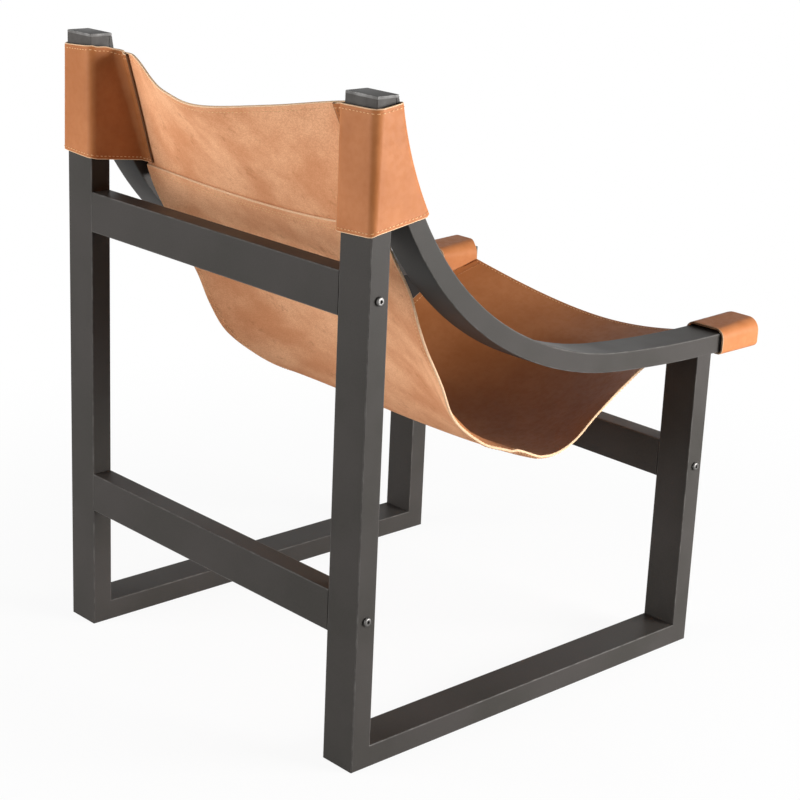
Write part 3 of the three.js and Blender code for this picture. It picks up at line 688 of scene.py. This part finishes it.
def sling(across, station):
    """Point of the sling at across and station.

    The middle and the edge are two curves. Between them the section rises as a power of
    the distance from the middle, whose tip is rounded: ((u^2 + c^2)^(p/2) - c^p) over
    its value at u = 1. Beside a pocket the doubled leather is stiff and holds its
    level: that adds 27/4 t (1 - t)^2, where t is the distance from the edge over the
    reach of the stiff part.
    """
    across, station = np.broadcast_arrays(np.asarray(across, float), np.asarray(station, float))
    edge, middle = through(SIDE_EDGE, station), through(MIDDLE_LINE, station)
    power = middle[..., 2] / 2
    tip = (ROUNDING**2) ** power
    share = ((across**2 + ROUNDING**2) ** power - tip) / ((1 + ROUNDING**2) ** power - tip)
    t = np.clip((1 - np.abs(across)) / STIFF_REACH, 0, 1)
    share = share + middle[..., 3] * 27 / 4 * t * (1 - t) ** 2
    forward = middle[..., 0] + (edge[..., 1] - middle[..., 0]) * share
    up = middle[..., 1] + (edge[..., 2] - middle[..., 1]) * share
    return place(across * edge[..., 0], forward, up)


def outside(across, station, distance):
    """The same surface moved square to itself, away from the sitter."""
    across, station = np.broadcast_arrays(np.asarray(across, float), np.asarray(station, float))
    left, right = np.minimum(across + NUDGE, 1), np.maximum(across - NUDGE, -1)
    low, high = np.maximum(station - NUDGE, 0), np.minimum(station + NUDGE, FRONT_STATION)
    sideways = sling(left, station) - sling(right, station)
    along = sling(across, high) - sling(across, low)
    away = np.cross(sideways, along)
    away /= np.linalg.norm(away, axis=-1, keepdims=True)
    return sling(across, station) + away * np.asarray(distance)[..., None]


print("mid-seat girth", round(girth(sling(np.linspace(1, -1, 81), 9.0)), 4))

# %% [markdown]
# ## Going round a tube
# Both panels end in leather that is wrapped round a tube and sewn back to itself. Seen
# along the tube that is a polygon with rounded corners. The corners' radii are those of
# 3 mm leather bent dry, about 8 to 10 mm, which is why the pockets stand a little off
# the sharp steel.

# %% Rounded paths
LEATHER = 0.003
LAYER_STEP = 0.0036
TURN_START = CLEAR_HALF + 0.0055
ARC_STEPS, FLAT_STEPS, TURN_STEPS = 8, 5, 10
ARC_SHARE = 0.15
FLAP_STEPS = np.linspace(0, 1, 9)


def corner_rows(row, pairs):
    """Rows of corners in a plane: each coordinate is a number, or one for each row."""
    return np.stack([np.stack([x + 0 * row, y + 0 * row], 1) for x, y in pairs], 1)


def rounded_path(corners, radii):
    """Paths through rows of corners, each inner corner made an arc.

    For a corner b between a and c the arc's centre lies on the angle's middle line at
    radius / sin(half the angle). Its points are (sin((1 - t) w) p + sin(t w) q) / sin w
    from the centre, where p and q lead to its ends and w is its turn. Returns the
    points and, for each, its place along the path counted in corners.
    """
    part = np.linspace(0, 1, ARC_STEPS + 1)
    flat = np.linspace(0, 1, FLAT_STEPS + 1)
    pieces, counts = [], []
    last, last_count = corners[:, 0], 0.0
    for k, radius in enumerate(radii, start=1):
        a, b, c = corners[:, k - 1], corners[:, k], corners[:, k + 1]
        u = (a - b) / np.linalg.norm(a - b, axis=-1, keepdims=True)
        v = (c - b) / np.linalg.norm(c - b, axis=-1, keepdims=True)
        half = np.arccos(np.clip((u * v).sum(-1), -1, 0.999)) / 2
        bisector = (u + v) / np.maximum(np.linalg.norm(u + v, axis=-1, keepdims=True), 1e-9)
        centre = b + bisector * (radius / np.sin(half))[:, None]
        reach = (radius / np.tan(half))[:, None]
        start, stop = (b + u * reach - centre)[:, None], (b + v * reach - centre)[:, None]
        turn = np.maximum(np.pi - 2 * half, 1e-4)[:, None, None]
        t = part[None, :, None]
        arc = (np.sin((1 - t) * turn) * start + np.sin(t * turn) * stop) / np.sin(turn)
        arc = arc + centre[:, None]
        pieces += [between((last[:, None], arc[:, :1]), flat[None, :-1, None]), arc[:, :-1]]
        counts += [between((last_count, k - ARC_SHARE), flat[:-1])]
        counts += [k + ARC_SHARE * (2 * part[:-1] - 1)]
        last, last_count = arc[:, -1], k + ARC_SHARE
    pieces.append(between((last[:, None], corners[:, -1:]), flat[None, :, None]))
    counts.append(between((last_count, len(radii) + 1), flat))
    return np.concatenate(pieces, 1), np.concatenate(counts)


def bent(start, control, stop):
    """Inner points of a curve that leaves start towards control and so reaches stop."""
    t = np.linspace(0, 1, TURN_STEPS + 1)[None, 1:-1, None]
    start, control, stop = start[:, None], control[:, None], stop[:, None]
    return (1 - t) ** 2 * start + 2 * t * (1 - t) * control + t**2 * stop


def arm_front(up):
    """How far forward the arm's front face is at a height on its last arc."""
    forward, level, radius = LAST_ARC
    return forward - np.sqrt((radius - ARM_THIN / 2) ** 2 - (level - up) ** 2)


# %% [markdown]
# ## Back panel
# A pocket at each end goes round the post and the arm. Its flap is sewn to the panel's
# rough side, and its free edge comes back to the sling's own edge in front of the arm.
# The two pockets were cut by hand, so their flaps, rims and corners differ a little.

# %% Pockets
# Steel to middle layer: round the post's outside, at its inner side, at the arm's front.
POCKET_STAND_OFF, POCKET_INNER_GAP, POCKET_FRONT_GAP = 0.004, 0.005, 0.0022
# Radii of the folds, at the pocket's top and bottom edge where there are two.
ROOT_RADII, OUTER_RADII = (0.0125, 0.0075), (0.0105, 0.007)
INNER_RADIUS, FRONT_RADIUS = 0.009, 0.006
# Heights of both rims, at the flap, the post's rear inner and outer corners, the arm's
# front outer corner and inside it.
POCKET_TOP = {
    "left": np.array([0.972, 0.983, 0.979, 0.988, 0.972]) * FRAME_TOP,
    "right": np.array([0.972, 0.983, 0.984, 0.99, 0.972]) * FRAME_TOP,
}
POCKET_BOTTOM = np.array([0.8, 0.806, 0.81, 0.83, 0.774]) * FRAME_TOP
# Height of the bell by which a rim rises over the rear inner corner, the bell's middle
# and width counted in corners, and the share of the rows over which it fades out.
RIM_CROWN = {"left": 0.0045, "right": 0.0}
CROWN_BELL = (1.2, 0.55)
RIM_FADE = 0.3
# Widths of the flaps at top and bottom, and where they start to bend off the panel,
# both as shares of across. Then the stations between which a flap is sewn.
FLAP_WIDTHS = {"left": (0.11, 0.065), "right": (0.185, 0.1)}
FLAP_BEND = (0.077, 0.045)
FLAP_STATIONS = (0.0, 1.94)


def pocket_rows(row, side):
    """Rows of a pocket on the left: flap, post's rear, outer side, arm's front, edge.

    Between corners the height changes evenly, but on the way in from the arm's front
    outer corner as a square.
    """
    rim = between((POCKET_TOP[side], POCKET_BOTTOM), row[:, None])
    inner, outer = CLEAR_HALF - POCKET_INNER_GAP, HALF_WIDTH + POCKET_STAND_OFF
    flap_station = between(FLAP_STATIONS, row)
    width = between(FLAP_WIDTHS[side], row)[:, None]
    flat = width - between(FLAP_BEND, row)[:, None]
    flap = outside(1 - width + flat * FLAP_STEPS, flap_station[:, None], LAYER_STEP)
    root = outside(1.0, flap_station, LAYER_STEP)
    edge = sling(1.0, row * BACK_END_STATION)
    front_outer = arm_front(rim[:, 3]) + POCKET_FRONT_GAP
    front_inner = arm_front(edge[:, 2]) + POCKET_FRONT_GAP
    plan = [(flap[:, -1, 0], REAR - flap[:, -1, 1]), (root[:, 0], REAR - root[:, 1])]
    plan += [(inner, -POCKET_STAND_OFF), (outer, -POCKET_STAND_OFF)]
    plan = corner_rows(row, plan + [(outer, front_outer), (TURN_START, front_inner)])
    heights = np.column_stack([flap[:, -1, 2], root[:, 2], rim[:, 1:]])
    radii = (between(ROOT_RADII, row), INNER_RADIUS, between(OUTER_RADII, row), FRONT_RADIUS)
    path, count = rounded_path(plan, radii)
    low = np.clip(np.floor(count).astype(int), 0, len(radii))
    part = np.where(low == len(radii), (count - low) ** 2, count - low)
    up = heights[:, low] + (heights[:, low + 1] - heights[:, low]) * part
    crown = RIM_CROWN[side] * bell(count, *CROWN_BELL)
    up = up + crown * (1 - eased(row, 0, RIM_FADE))[:, None]
    control = corner_rows(row, [(inner - LEATHER / 2, front_inner + LEATHER)])[:, 0]
    turn = bent(plan[:, -1], control, np.stack([edge[:, 0], REAR - edge[:, 1]], 1))
    share = np.linspace(0, 1, TURN_STEPS + 1)[1:-1]
    turn_up = between((rim[:, 4:5], edge[:, 2:3]), share)
    wrap = place(path[..., 0], path[..., 1], up)
    return np.concatenate([flap[:, :-1], wrap, place(turn[..., 0], turn[..., 1], turn_up)], 1)


def mirrored(points):
    """The same rows on the other side, in the opposite order."""
    return points[:, ::-1] * (-1, 1, 1)


# %% Back panel
# Columns across, closer together at the edges: 1.3 t - 0.3 t^3.
SPAN = np.linspace(1, -1, 113)
SPAN = 1.3 * SPAN - 0.3 * SPAN**3
BACK_ROWS = np.linspace(0, 1, 61)
# The top edge's two low places: how low, and where they lie to the left of the middle.
CORNER_CUT, CORNER_CUT_SPAN = 0.0035, (0.185, 0.215, 0.222, 0.226)
SHOULDER_CUT, SHOULDER_BELL = 0.0038, (0.088, 0.035)
# The flaps' free edges are darkened almost to the burnish colour, partly as painted shade along
# them.
FLAP_EDGE_BURNISH_AND_SHADE = 0.85


def back_grid(row):
    """All points of the back panel at rows from 0, its top edge, to 1, its lower one.

    The top edge was cut by hand: lower at the left corner, and lower beside it by a bell.
    """
    left, right = pocket_rows(row, "left"), pocket_rows(row, "right")
    middle = sling(SPAN, (row * BACK_END_STATION)[:, None])
    points = np.concatenate([left, middle, mirrored(right)], 1)
    x = points[..., 0]
    cut = CORNER_CUT * plateau(x, *CORNER_CUT_SPAN) + SHOULDER_CUT * bell(x, *SHOULDER_BELL)
    points[..., 2] -= cut * (1 - eased(row, 0, RIM_FADE))[:, None]
    return points


def leather_piece(name, points, burnish_and_shade, kept=None):
    """A grid made into a hide 3 mm thick: grain on the sitter's side, flesh behind.

    The bevel rounds the cut edge and shows its pale fibres. It isn't clamped, because
    one short quad would then hold it back along every edge.
    """
    faces = grid_quads(*points.shape[:2], kept=kept)
    used, faces = np.unique(faces, return_inverse=True)
    finish_and_light = {"burnish_and_shade": burnish_and_shade.ravel()[used]}
    piece = make_piece(name, points.reshape(-1, 3)[used], faces.reshape(-1, 4), HIDE, finish_and_light)
    wall = piece.modifiers.new("hide_thickness", "SOLIDIFY")
    wall.thickness = LEATHER
    wall.offset = 0
    wall.use_even_offset = True
    wall.material_offset = 1
    wall.material_offset_rim = 2
    ease = piece.modifiers.new("eased_edges", "BEVEL")
    ease.width = LEATHER / 3
    ease.use_clamp_overlap = False
    ease.segments = 3
    ease.limit_method = "ANGLE"
    ease.angle_limit = math.radians(50)
    ease.material = 2
    return piece


back = back_grid(BACK_ROWS)
column_of = np.indices(back.shape[:2])[1]
flap_ends = (column_of < 2) | (column_of > back.shape[1] - 3)
back_leather = leather_piece("back_leather", back, FLAP_EDGE_BURNISH_AND_SHADE * flap_ends)
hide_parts("back_panel")
print("back panel grid", back.shape[:2])

# %% [markdown]
# ## Seat panel
# The seat starts behind the back panel's lower edge, comes forward past it, and ends in
# a sleeve round each arm's front end. What the hand and the sitter did to it is added
# last: the front edge cut back, a nick in the right edge, and that edge hanging slack.

# %% Seat panel
SLEEVE_FLAP = 0.065
SLEEVE_STAND_OFF = 0.0042
SLEEVE_LIFT, SLEEVE_UNDER, SLEEVE_TURN_UP = 0.0041, 0.002, 0.0003
# Radii of the sleeve's folds from its flap round to its inner top, at rear and front.
SLEEVE_RADII = ((0.003, 0.003), (0.004, 0.004), (0.006, 0.007), (0.011, 0.015), (0.0115, 0.018))
# Distances of the middle layer from the sling's surface, each with its stations, and
# where across the lip starts.
SEAT_FORWARD, PAST_LAP = 0.0014, (BACK_END_STATION + 0.05, BACK_END_STATION + 1.3)
SEAT_SIDES_OUT, SIDES_OUT_SPAN = 0.0039, (8, 10, 14, 16)
SEAT_LIP, LIP_SPAN, LIP_FROM = 0.002, (3, 5, 14, 15.5), 0.945
LAP_RISE, LAP_RISE_FROM = 0.055, 0.1
# Cut off the front edge: at its corners, the share of that in the middle, the stations
# it comes on over, and how far out it ends, on the sleeve.
FRONT_CUT, MIDDLE_CUT_SHARE = 0.0056, 0.3
FRONT_CUT_STATIONS = (SLEEVE_STATION, FRONT_STATION + 0.5)
FRONT_CUT_END = (CLEAR_HALF - 0.003, CLEAR_HALF + 0.014)
# Faults of the right edge: size, the stations where each comes and goes, and how far
# right of the middle it begins and is full. The slack has a bell on top of it.
NICK = (0.0042, (9.35, 9.65, 9.75, 10.5), (0.06, 0.2))
SAG = (0.006, (5.2, 7, 8.5, 9.4), (0.02, 0.215))
SLACK = (0.0026, (3.2, 4.4, 8.6, 9.4), (0.1, 0.215))
SLACK_DEEPEST, SLACK_BELL = 0.0031, (5, 0.75)
BURNISHED_SLEEVE, BURNISHED_SEAT = 0.4, 0.15


def seat_layer(across, station):
    """How far the seat's middle layer lies outside the sling's surface.

    It starts one layer out, behind the back panel's lower edge, and comes forward past
    that edge by a smooth step. Beside the lowest part its edges stand out again, and
    the right one, which is sat over the most, curls in like a low lip.
    """
    past = eased(station, *PAST_LAP)
    beside = np.abs(across) ** 2 * plateau(station, *SIDES_OUT_SPAN)
    lip = SEAT_LIP * eased(-across, LIP_FROM, 1) * plateau(station, *LIP_SPAN)
    return LAYER_STEP - (LAYER_STEP + SEAT_FORWARD) * past + SEAT_SIDES_OUT * beside - lip


def lap_rise(across):
    """How many stations the seat's hidden upper edge rises towards the right side."""
    return LAP_RISE * eased(-across, LAP_RISE_FROM, 1)


def sleeve_rows(station):
    """Rows of a sleeve on the left: flap, under the arm, outer side, over it, edge."""
    edge = outside(1.0, station, seat_layer(1.0, station))
    across = 1 - SLEEVE_FLAP + SLEEVE_FLAP * FLAP_STEPS
    flap = outside(across, station[:, None], LAYER_STEP * (1 + FLAP_STEPS))
    t = np.clip((station - SLEEVE_STATION) / (FRONT_STATION - SLEEVE_STATION), 0, 1)
    inner, outer = CLEAR_HALF - SLEEVE_STAND_OFF, HALF_WIDTH + SLEEVE_STAND_OFF
    top = ARM_LEVEL + ARM_THIN / 2 + SLEEVE_STAND_OFF + SLEEVE_LIFT * t
    bottom = ARM_LEVEL - ARM_THIN / 2 - SLEEVE_UNDER
    section = [(flap[:, k, 0], flap[:, k, 2]) for k in (-3, -1)]
    section += [(TURN_START, bottom), (outer, bottom), (outer, top), (inner, top)]
    section = corner_rows(station, section + [(inner, ARM_LEVEL)])
    path, _ = rounded_path(section, [between(pair, t) for pair in SLEEVE_RADII])
    control = corner_rows(station, [(inner, edge[:, 2] + SLEEVE_TURN_UP)])[:, 0]
    turn = bent(section[:, -1], control, edge[:, [0, 2]])
    path = np.concatenate([path, turn], 1)
    forward = (REAR - edge[:, 1])[:, None]
    return np.concatenate([flap[:, :-3], place(path[..., 0], forward, path[..., 1])], 1)


def hand_cut(points, station):
    """Points of the seat moved by what hand and use did: front, nick, slack right edge.

    The front edge is cut back a little more towards its corners, as the fourth power of
    the distance out. The right edge is slack beside the sitter's back, so it hangs
    inward, to the rear and lower, and it steps up by a short nick at its lowest part.
    """
    right, out = -points[..., 0], np.abs(points[..., 0])
    cut = between((MIDDLE_CUT_SHARE, 1), np.minimum(out / CLEAR_HALF, 1) ** 4)
    cut *= 1 - eased(out, *FRONT_CUT_END)
    back = FRONT_CUT * cut * eased(station, *FRONT_CUT_STATIONS)
    nick, sag, inward = (
        size * plateau(station, *stations) * eased(right, *reach)
        for size, stations, reach in (NICK, SAG, SLACK)
    )
    inward = inward + SLACK_DEEPEST * bell(station, *SLACK_BELL) * eased(right, *SLACK[2])
    return points + np.stack([inward, back + inward, nick - sag], -1)


def seat_grid(station):
    """All points of the seat panel at stations from 2, its seam, to 18, its front edge."""
    sleeve = sleeve_rows(station)
    rise = lap_rise(SPAN) * (1 - eased(station, SEAM_STATION, SEAM_STATION + 1))[:, None]
    cut = station[:, None] - rise
    middle = outside(SPAN, cut, seat_layer(SPAN, cut))
    points = np.concatenate([sleeve, middle, mirrored(sleeve)], 1)
    return hand_cut(points, station[:, None]), sleeve.shape[1]


seat_stations = np.linspace(SEAM_STATION, SLEEVE_STATION, 169)
sleeve_stations = np.linspace(SLEEVE_STATION, FRONT_STATION, 33)
seat_stations = np.concatenate([seat_stations, sleeve_stations[1:]])
seat, sleeve_columns = seat_grid(seat_stations)
cell_row, cell_column = np.indices((seat.shape[0] - 1, seat.shape[1] - 1))
on_seat = (cell_column >= sleeve_columns) & (cell_column < sleeve_columns + len(SPAN) - 1)
on_sleeve = seat_stations[cell_row] >= SLEEVE_STATION - 1e-6
column_of = np.indices(seat.shape[:2])[1]
beside = (column_of < sleeve_columns - 2) | (column_of > sleeve_columns + len(SPAN) + 1)
burnish_and_shade = np.where(beside, BURNISHED_SLEEVE, BURNISHED_SEAT)
seat_leather = leather_piece("seat_leather", seat, burnish_and_shade, kept=on_seat | on_sleeve)
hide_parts("seat_panel")
print("seat panel grid", seat.shape[:2])

# %% [markdown]
# ## Stitches
# The panels are saddle stitched by hand: each stitch is a short raised loop of thread
# about 4 mm long, 5.5 mm from the next. A row is one small closed shape repeated along a
# line, turned to follow it, and sunk a little into the leather at both ends.

# %% Stitch rows
STITCH_PITCH = 0.0055
STITCH_LENGTH = 0.0038
THREAD_RADIUS = 0.00045
# The power that blunts a stitch's ends, then in thread radii how high its middle rises,
# how deep it all is sunk, and how deep its two end points are.
BLUNT = 0.35
ARCHED, SUNK, ENDS_SUNK = 1.1, 0.45, 0.6


def stitch_shape(around=6, along=6):
    """A closed spindle: radius and height follow the sine of the half turn along it."""
    t = np.linspace(0, 1, along + 1)[1:-1, None]
    a = np.linspace(0, 2 * np.pi, around, endpoint=False)
    radius = THREAD_RADIUS * np.sin(np.pi * t) ** BLUNT
    lift = THREAD_RADIUS * (ARCHED * np.sin(np.pi * t) - SUNK)
    ring = [(t - 0.5) * STITCH_LENGTH + 0 * a, radius * np.cos(a), radius * np.sin(a) + lift]
    ring = np.stack(ring, -1).reshape(-1, 3)
    ends = np.array([[-0.5, 0, 0], [0.5, 0, 0]]) * STITCH_LENGTH
    ends[:, 2] -= ENDS_SUNK * THREAD_RADIUS
    turn = np.arange(around)
    final = len(ring) - around + turn
    first = np.stack([turn, np.roll(turn, -1), np.full(around, len(ring))], 1)
    last = np.stack([np.roll(final, -1), final, np.full(around, len(ring) + 1)], 1)
    return np.vstack([ring, ends]), (grid_quads(len(t), around, ring=True), first, last)


SHAPE, SHAPE_FACES = stitch_shape()


def stitch_row(name, path, normals, reach):
    """Stitches evenly along a path, on both sides at `reach` off it."""
    steps = np.linalg.norm(np.diff(path, axis=0), axis=1)
    length = np.concatenate([[0], np.cumsum(steps)])
    count = max(int(length[-1] / STITCH_PITCH), 1)
    at = (np.arange(count) + 0.5) * length[-1] / count
    centre, along, outward = (
        np.stack([np.interp(at, length, column) for column in values.T], 1)
        for values in (path, np.gradient(path, axis=0), normals)
    )
    along /= np.linalg.norm(along, axis=1, keepdims=True)
    points, faces = [], []
    for k, side in enumerate((1, -1)):
        up = side * outward
        up = up - (up * along).sum(1, keepdims=True) * along
        up /= np.linalg.norm(up, axis=1, keepdims=True)
        axes = np.stack([along, np.cross(up, along), up], 1)
        points.append(centre[:, None] + up[:, None] * reach + SHAPE @ axes)
        starts = (k * count + np.arange(count))[:, None, None] * len(SHAPE)
        for shape_faces in SHAPE_FACES:
            faces += (starts + shape_faces).reshape(-1, shape_faces.shape[1]).tolist()
    # Flap and sleeve rows take the brown thread, which is darker partly as painted shade.
    thread = BROWN_SHADE_THREAD if "flap" in name or "sleeve" in name else THREAD
    piece = make_piece(name, np.concatenate(points), faces, [thread])
    turn_outwards(piece)
    return piece


# %% Rows on the back panel
SURFACE = LEATHER / 2
TOP_MARGIN, LOW_MARGIN = 0.0065, 0.0055
FLAP_MARGIN = 0.018
LAP = 0.021
SEAM_ROWS = {"upper": 0.0085, "lower": 0.0135}
BACK_LENGTH = girth(sling(0.8, BACK_ROWS * BACK_END_STATION))
ROW_NUDGE = 0.004


def back_row(name, row, columns=slice(None)):
    """A row of stitches that follows one row of the back panel, seen on both sides.

    The normals are the cross product of the steps to the neighbouring points.
    """
    near = back_grid(np.array([row - ROW_NUDGE, row, row + ROW_NUDGE]))
    normals = np.cross(np.gradient(near, axis=1), np.gradient(near, axis=0))[1]
    normals /= np.linalg.norm(normals, axis=-1, keepdims=True)
    return stitch_row(name, near[1][columns], normals[columns], SURFACE)


def sling_row(name, across, station, inner, outer, trim=None):
    """Stitches through the sling between its inner and outer face, seen on both."""
    middle = (inner + outer) / 2
    path = outside(across, station, middle)
    normals = outside(across, station, middle + 0.001) - path
    path = trim(path, station) if trim else path
    return stitch_row(name, path, normals, float(np.mean(outer - inner)) / 2)


pocket_columns = pocket_rows(np.array([0.5]), "left").shape[1]
low_row = 1 - LOW_MARGIN / BACK_LENGTH
stitches = [
    back_row("back_top_edge_stitches", TOP_MARGIN / BACK_LENGTH),
    back_row("left_pocket_lower_stitches", low_row, slice(0, pocket_columns + 1)),
    back_row("right_pocket_lower_stitches", low_row, slice(-pocket_columns - 1, None)),
]
across = np.linspace(0.97, -0.97, 120)
for label, distance in SEAM_ROWS.items():
    station = between((SEAM_STATION, BACK_END_STATION), distance / LAP) - lap_rise(across)
    name = f"lap_seam_{label}_stitches"
    stitches.append(sling_row(name, across, station, -SURFACE, LAYER_STEP + SURFACE))
row = np.linspace(0.04, 0.96, 60)
for side, sign in SIDES.items():
    across = sign * (1 - between(FLAP_WIDTHS[side], row) + FLAP_MARGIN)
    station, name = between(FLAP_STATIONS, row), f"{side}_pocket_flap_stitches"
    stitches.append(sling_row(name, across, station, -SURFACE, LAYER_STEP + SURFACE))

# %% Rows on the seat panel
EDGE_MARGIN = 0.006
FRONT_MARGIN, SLEEVE_MARGIN = 0.15, 0.12
EDGE_ROW = (BACK_END_STATION + 0.1, SLEEVE_STATION - 0.2)
# Of the sleeve's flap: the row's place as a share of its width, and its depth there.
FLAP_ROW_SHARE = 0.75
FLAP_BEHIND = 1.1 * LAYER_STEP


def seat_row(name, across, station, flap=0.0):
    """Stitches through the seat panel, or through it and a sleeve's flap behind it."""
    layer = seat_layer(across, station)
    inner, outer = layer - SURFACE, layer + flap + SURFACE
    return sling_row(name, across, station, inner, outer, hand_cut)


across, station = np.linspace(0.99, -0.99, 160), np.full(160, FRONT_STATION - FRONT_MARGIN)
stitches.append(seat_row("seat_front_edge_stitches", across, station))
for side, sign in SIDES.items():
    across = np.full(50, sign * (1 - SLEEVE_FLAP * FLAP_ROW_SHARE))
    station = np.linspace(SLEEVE_STATION + SLEEVE_MARGIN, FRONT_STATION - SLEEVE_MARGIN, 50)
    stitches.append(seat_row(f"seat_{side}_sleeve_stitches", across, station, FLAP_BEHIND))
    across = np.full(400, sign * (1 - EDGE_MARGIN / CLEAR_HALF))
    station = np.linspace(*EDGE_ROW, 400)
    stitches.append(seat_row(f"seat_{side}_edge_stitches", across, station))
print("stitch rows", len(stitches), "faces", sum(len(p.data.polygons) for p in stitches))

# %% [markdown]
# ## Flat sizes of the hides
# The two panels are sheets that were cut flat. A grid's flat area can be measured on
# the middle layer of the leather, which neither stretches nor shrinks when it is bent,
# and the back panel's longest rows and columns are measured there.

# %% Sheets
def flat_area(points, kept=slice(None)):
    """Area of a grid: half the cross product of each cell's two diagonals, summed."""
    first = points[1:, 1:] - points[:-1, :-1]
    second = points[1:, :-1] - points[:-1, 1:]
    return float(np.linalg.norm(np.cross(first, second), axis=-1)[kept].sum() / 2)


back_flat = (max(map(girth, back)), max(map(girth, back.swapaxes(0, 1))))

# %% [markdown]
# ## Floor, world and lamps
# The floor is pale and nearly white to the camera, and keeps a soft shadow near the
# chair. The light comes from two large soft lamps, one on the sitter's right and one
# behind the chair, which leaves the corners that face the camera darker than the faces
# beside them. A third, weak one in front keeps the inside of the sling from going black.

# %% Floor and world
FLOOR_HALF = 9.0
SHADOW_SHARE, SHADOW_FADE = 0.08, (0.3, 1.3)
AMBIENT = 0.03
WHITE = (1, 1, 1, 1)


def camera_share(tree):
    """1 for rays that show the background: from the camera, a mirror or glass."""
    rays = add_node(tree, "LightPath").node.outputs
    shown = {0: rays["Is Camera Ray"], 1: rays["Is Glossy Ray"]}
    shown = {0: add_node(tree, "Math", shown, operation="MAXIMUM")}
    shown[1] = rays["Is Transmission Ray"]
    return add_node(tree, "Math", shown, operation="MAXIMUM")


def studio_floor():
    """White paper: plain white for the eye, with the lamps' shadow near the chair."""
    material, tree, here = new_material("studio_paper")
    reach = add_node(tree, "VectorMath", {0: here}, "Value", operation="LENGTH")
    near = {0: reach, 1: SHADOW_FADE[0], 2: SHADOW_FADE[1], 3: SHADOW_SHARE, 4: 0.0}
    near = add_node(tree, "MapRange", near, **SMOOTH)
    paper = add_node(tree, "BsdfDiffuse", {"Color": (0.8, 0.8, 0.8, 1)})
    white = add_node(tree, "Emission", {"Color": WHITE, "Strength": 1.0})
    seen = add_node(tree, "MixShader", {0: near, 1: white, 2: paper})
    both = add_node(tree, "MixShader", {0: camera_share(tree), 1: paper, 2: seen})
    add_node(tree, "OutputMaterial", {"Surface": both})
    return material


corners = FLOOR_HALF * np.array([[-1, -1, 0], [1, -1, 0], [1, 1, 0], [-1, 1, 0]])
floor_mesh = bpy.data.meshes.new("studio_floor")
floor_mesh.from_pydata(corners.tolist(), [], [(0, 1, 2, 3)])
floor_mesh.materials.append(studio_floor())
studio = bpy.data.objects.new("studio_floor", floor_mesh)
bpy.context.scene.collection.objects.link(studio)
studio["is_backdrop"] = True

world = bpy.data.worlds.new("studio_world")
bpy.context.scene.world = world
world.use_nodes = True
tree = world.node_tree
tree.nodes.clear()
sky = add_node(tree, "Background", {"Color": WHITE, "Strength": AMBIENT})
white = add_node(tree, "Background", {"Color": WHITE, "Strength": 1.0})
both = add_node(tree, "MixShader", {0: camera_share(tree), 1: sky, 2: white})
add_node(tree, "OutputWorld", {"Surface": both})

# %% Lamps
# Name, azimuth seen from above (0 is -y, the sitter's front; 90 is +x), elevation,
# distance, width, power. All aim at the middle of the sling.
LAMPS = (
    ("key_right", 300, 8, 2.7, 1.5, 164),
    ("fill_behind", 158, 8, 2.7, 2.3, 93),
    ("weak_front", 350, 40, 2.7, 1.5, 5),
)
AIM = Vector((0, 0, 0.4))


def area_lamp(name, azimuth, elevation, distance, width, power):
    """A square soft box at an azimuth and elevation, facing the chair."""
    a, e = math.radians(azimuth), math.radians(elevation)
    toward = Vector((math.sin(a) * math.cos(e), -math.cos(a) * math.cos(e), math.sin(e)))
    lamp = bpy.data.lights.new(name, "AREA")
    lamp.energy, lamp.size = power, width
    holder = bpy.data.objects.new(name, lamp)
    holder.location = AIM + toward * distance
    holder.rotation_mode = "QUATERNION"
    holder.rotation_quaternion = (-toward).to_track_quat("-Z", "Y")
    bpy.context.scene.collection.objects.link(holder)


for lamp in LAMPS:
    area_lamp(*lamp)
bpy.context.scene.view_settings.view_transform = "Standard"
print("lamps", [lamp[0] for lamp in LAMPS])

# %% Sizes of both models, then finish
seen_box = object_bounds()
grown = np.array(seen_box) - np.array(cad_box)
print("visual box minus CAD box, mm:", (1000 * grown).round(1).ravel().tolist())
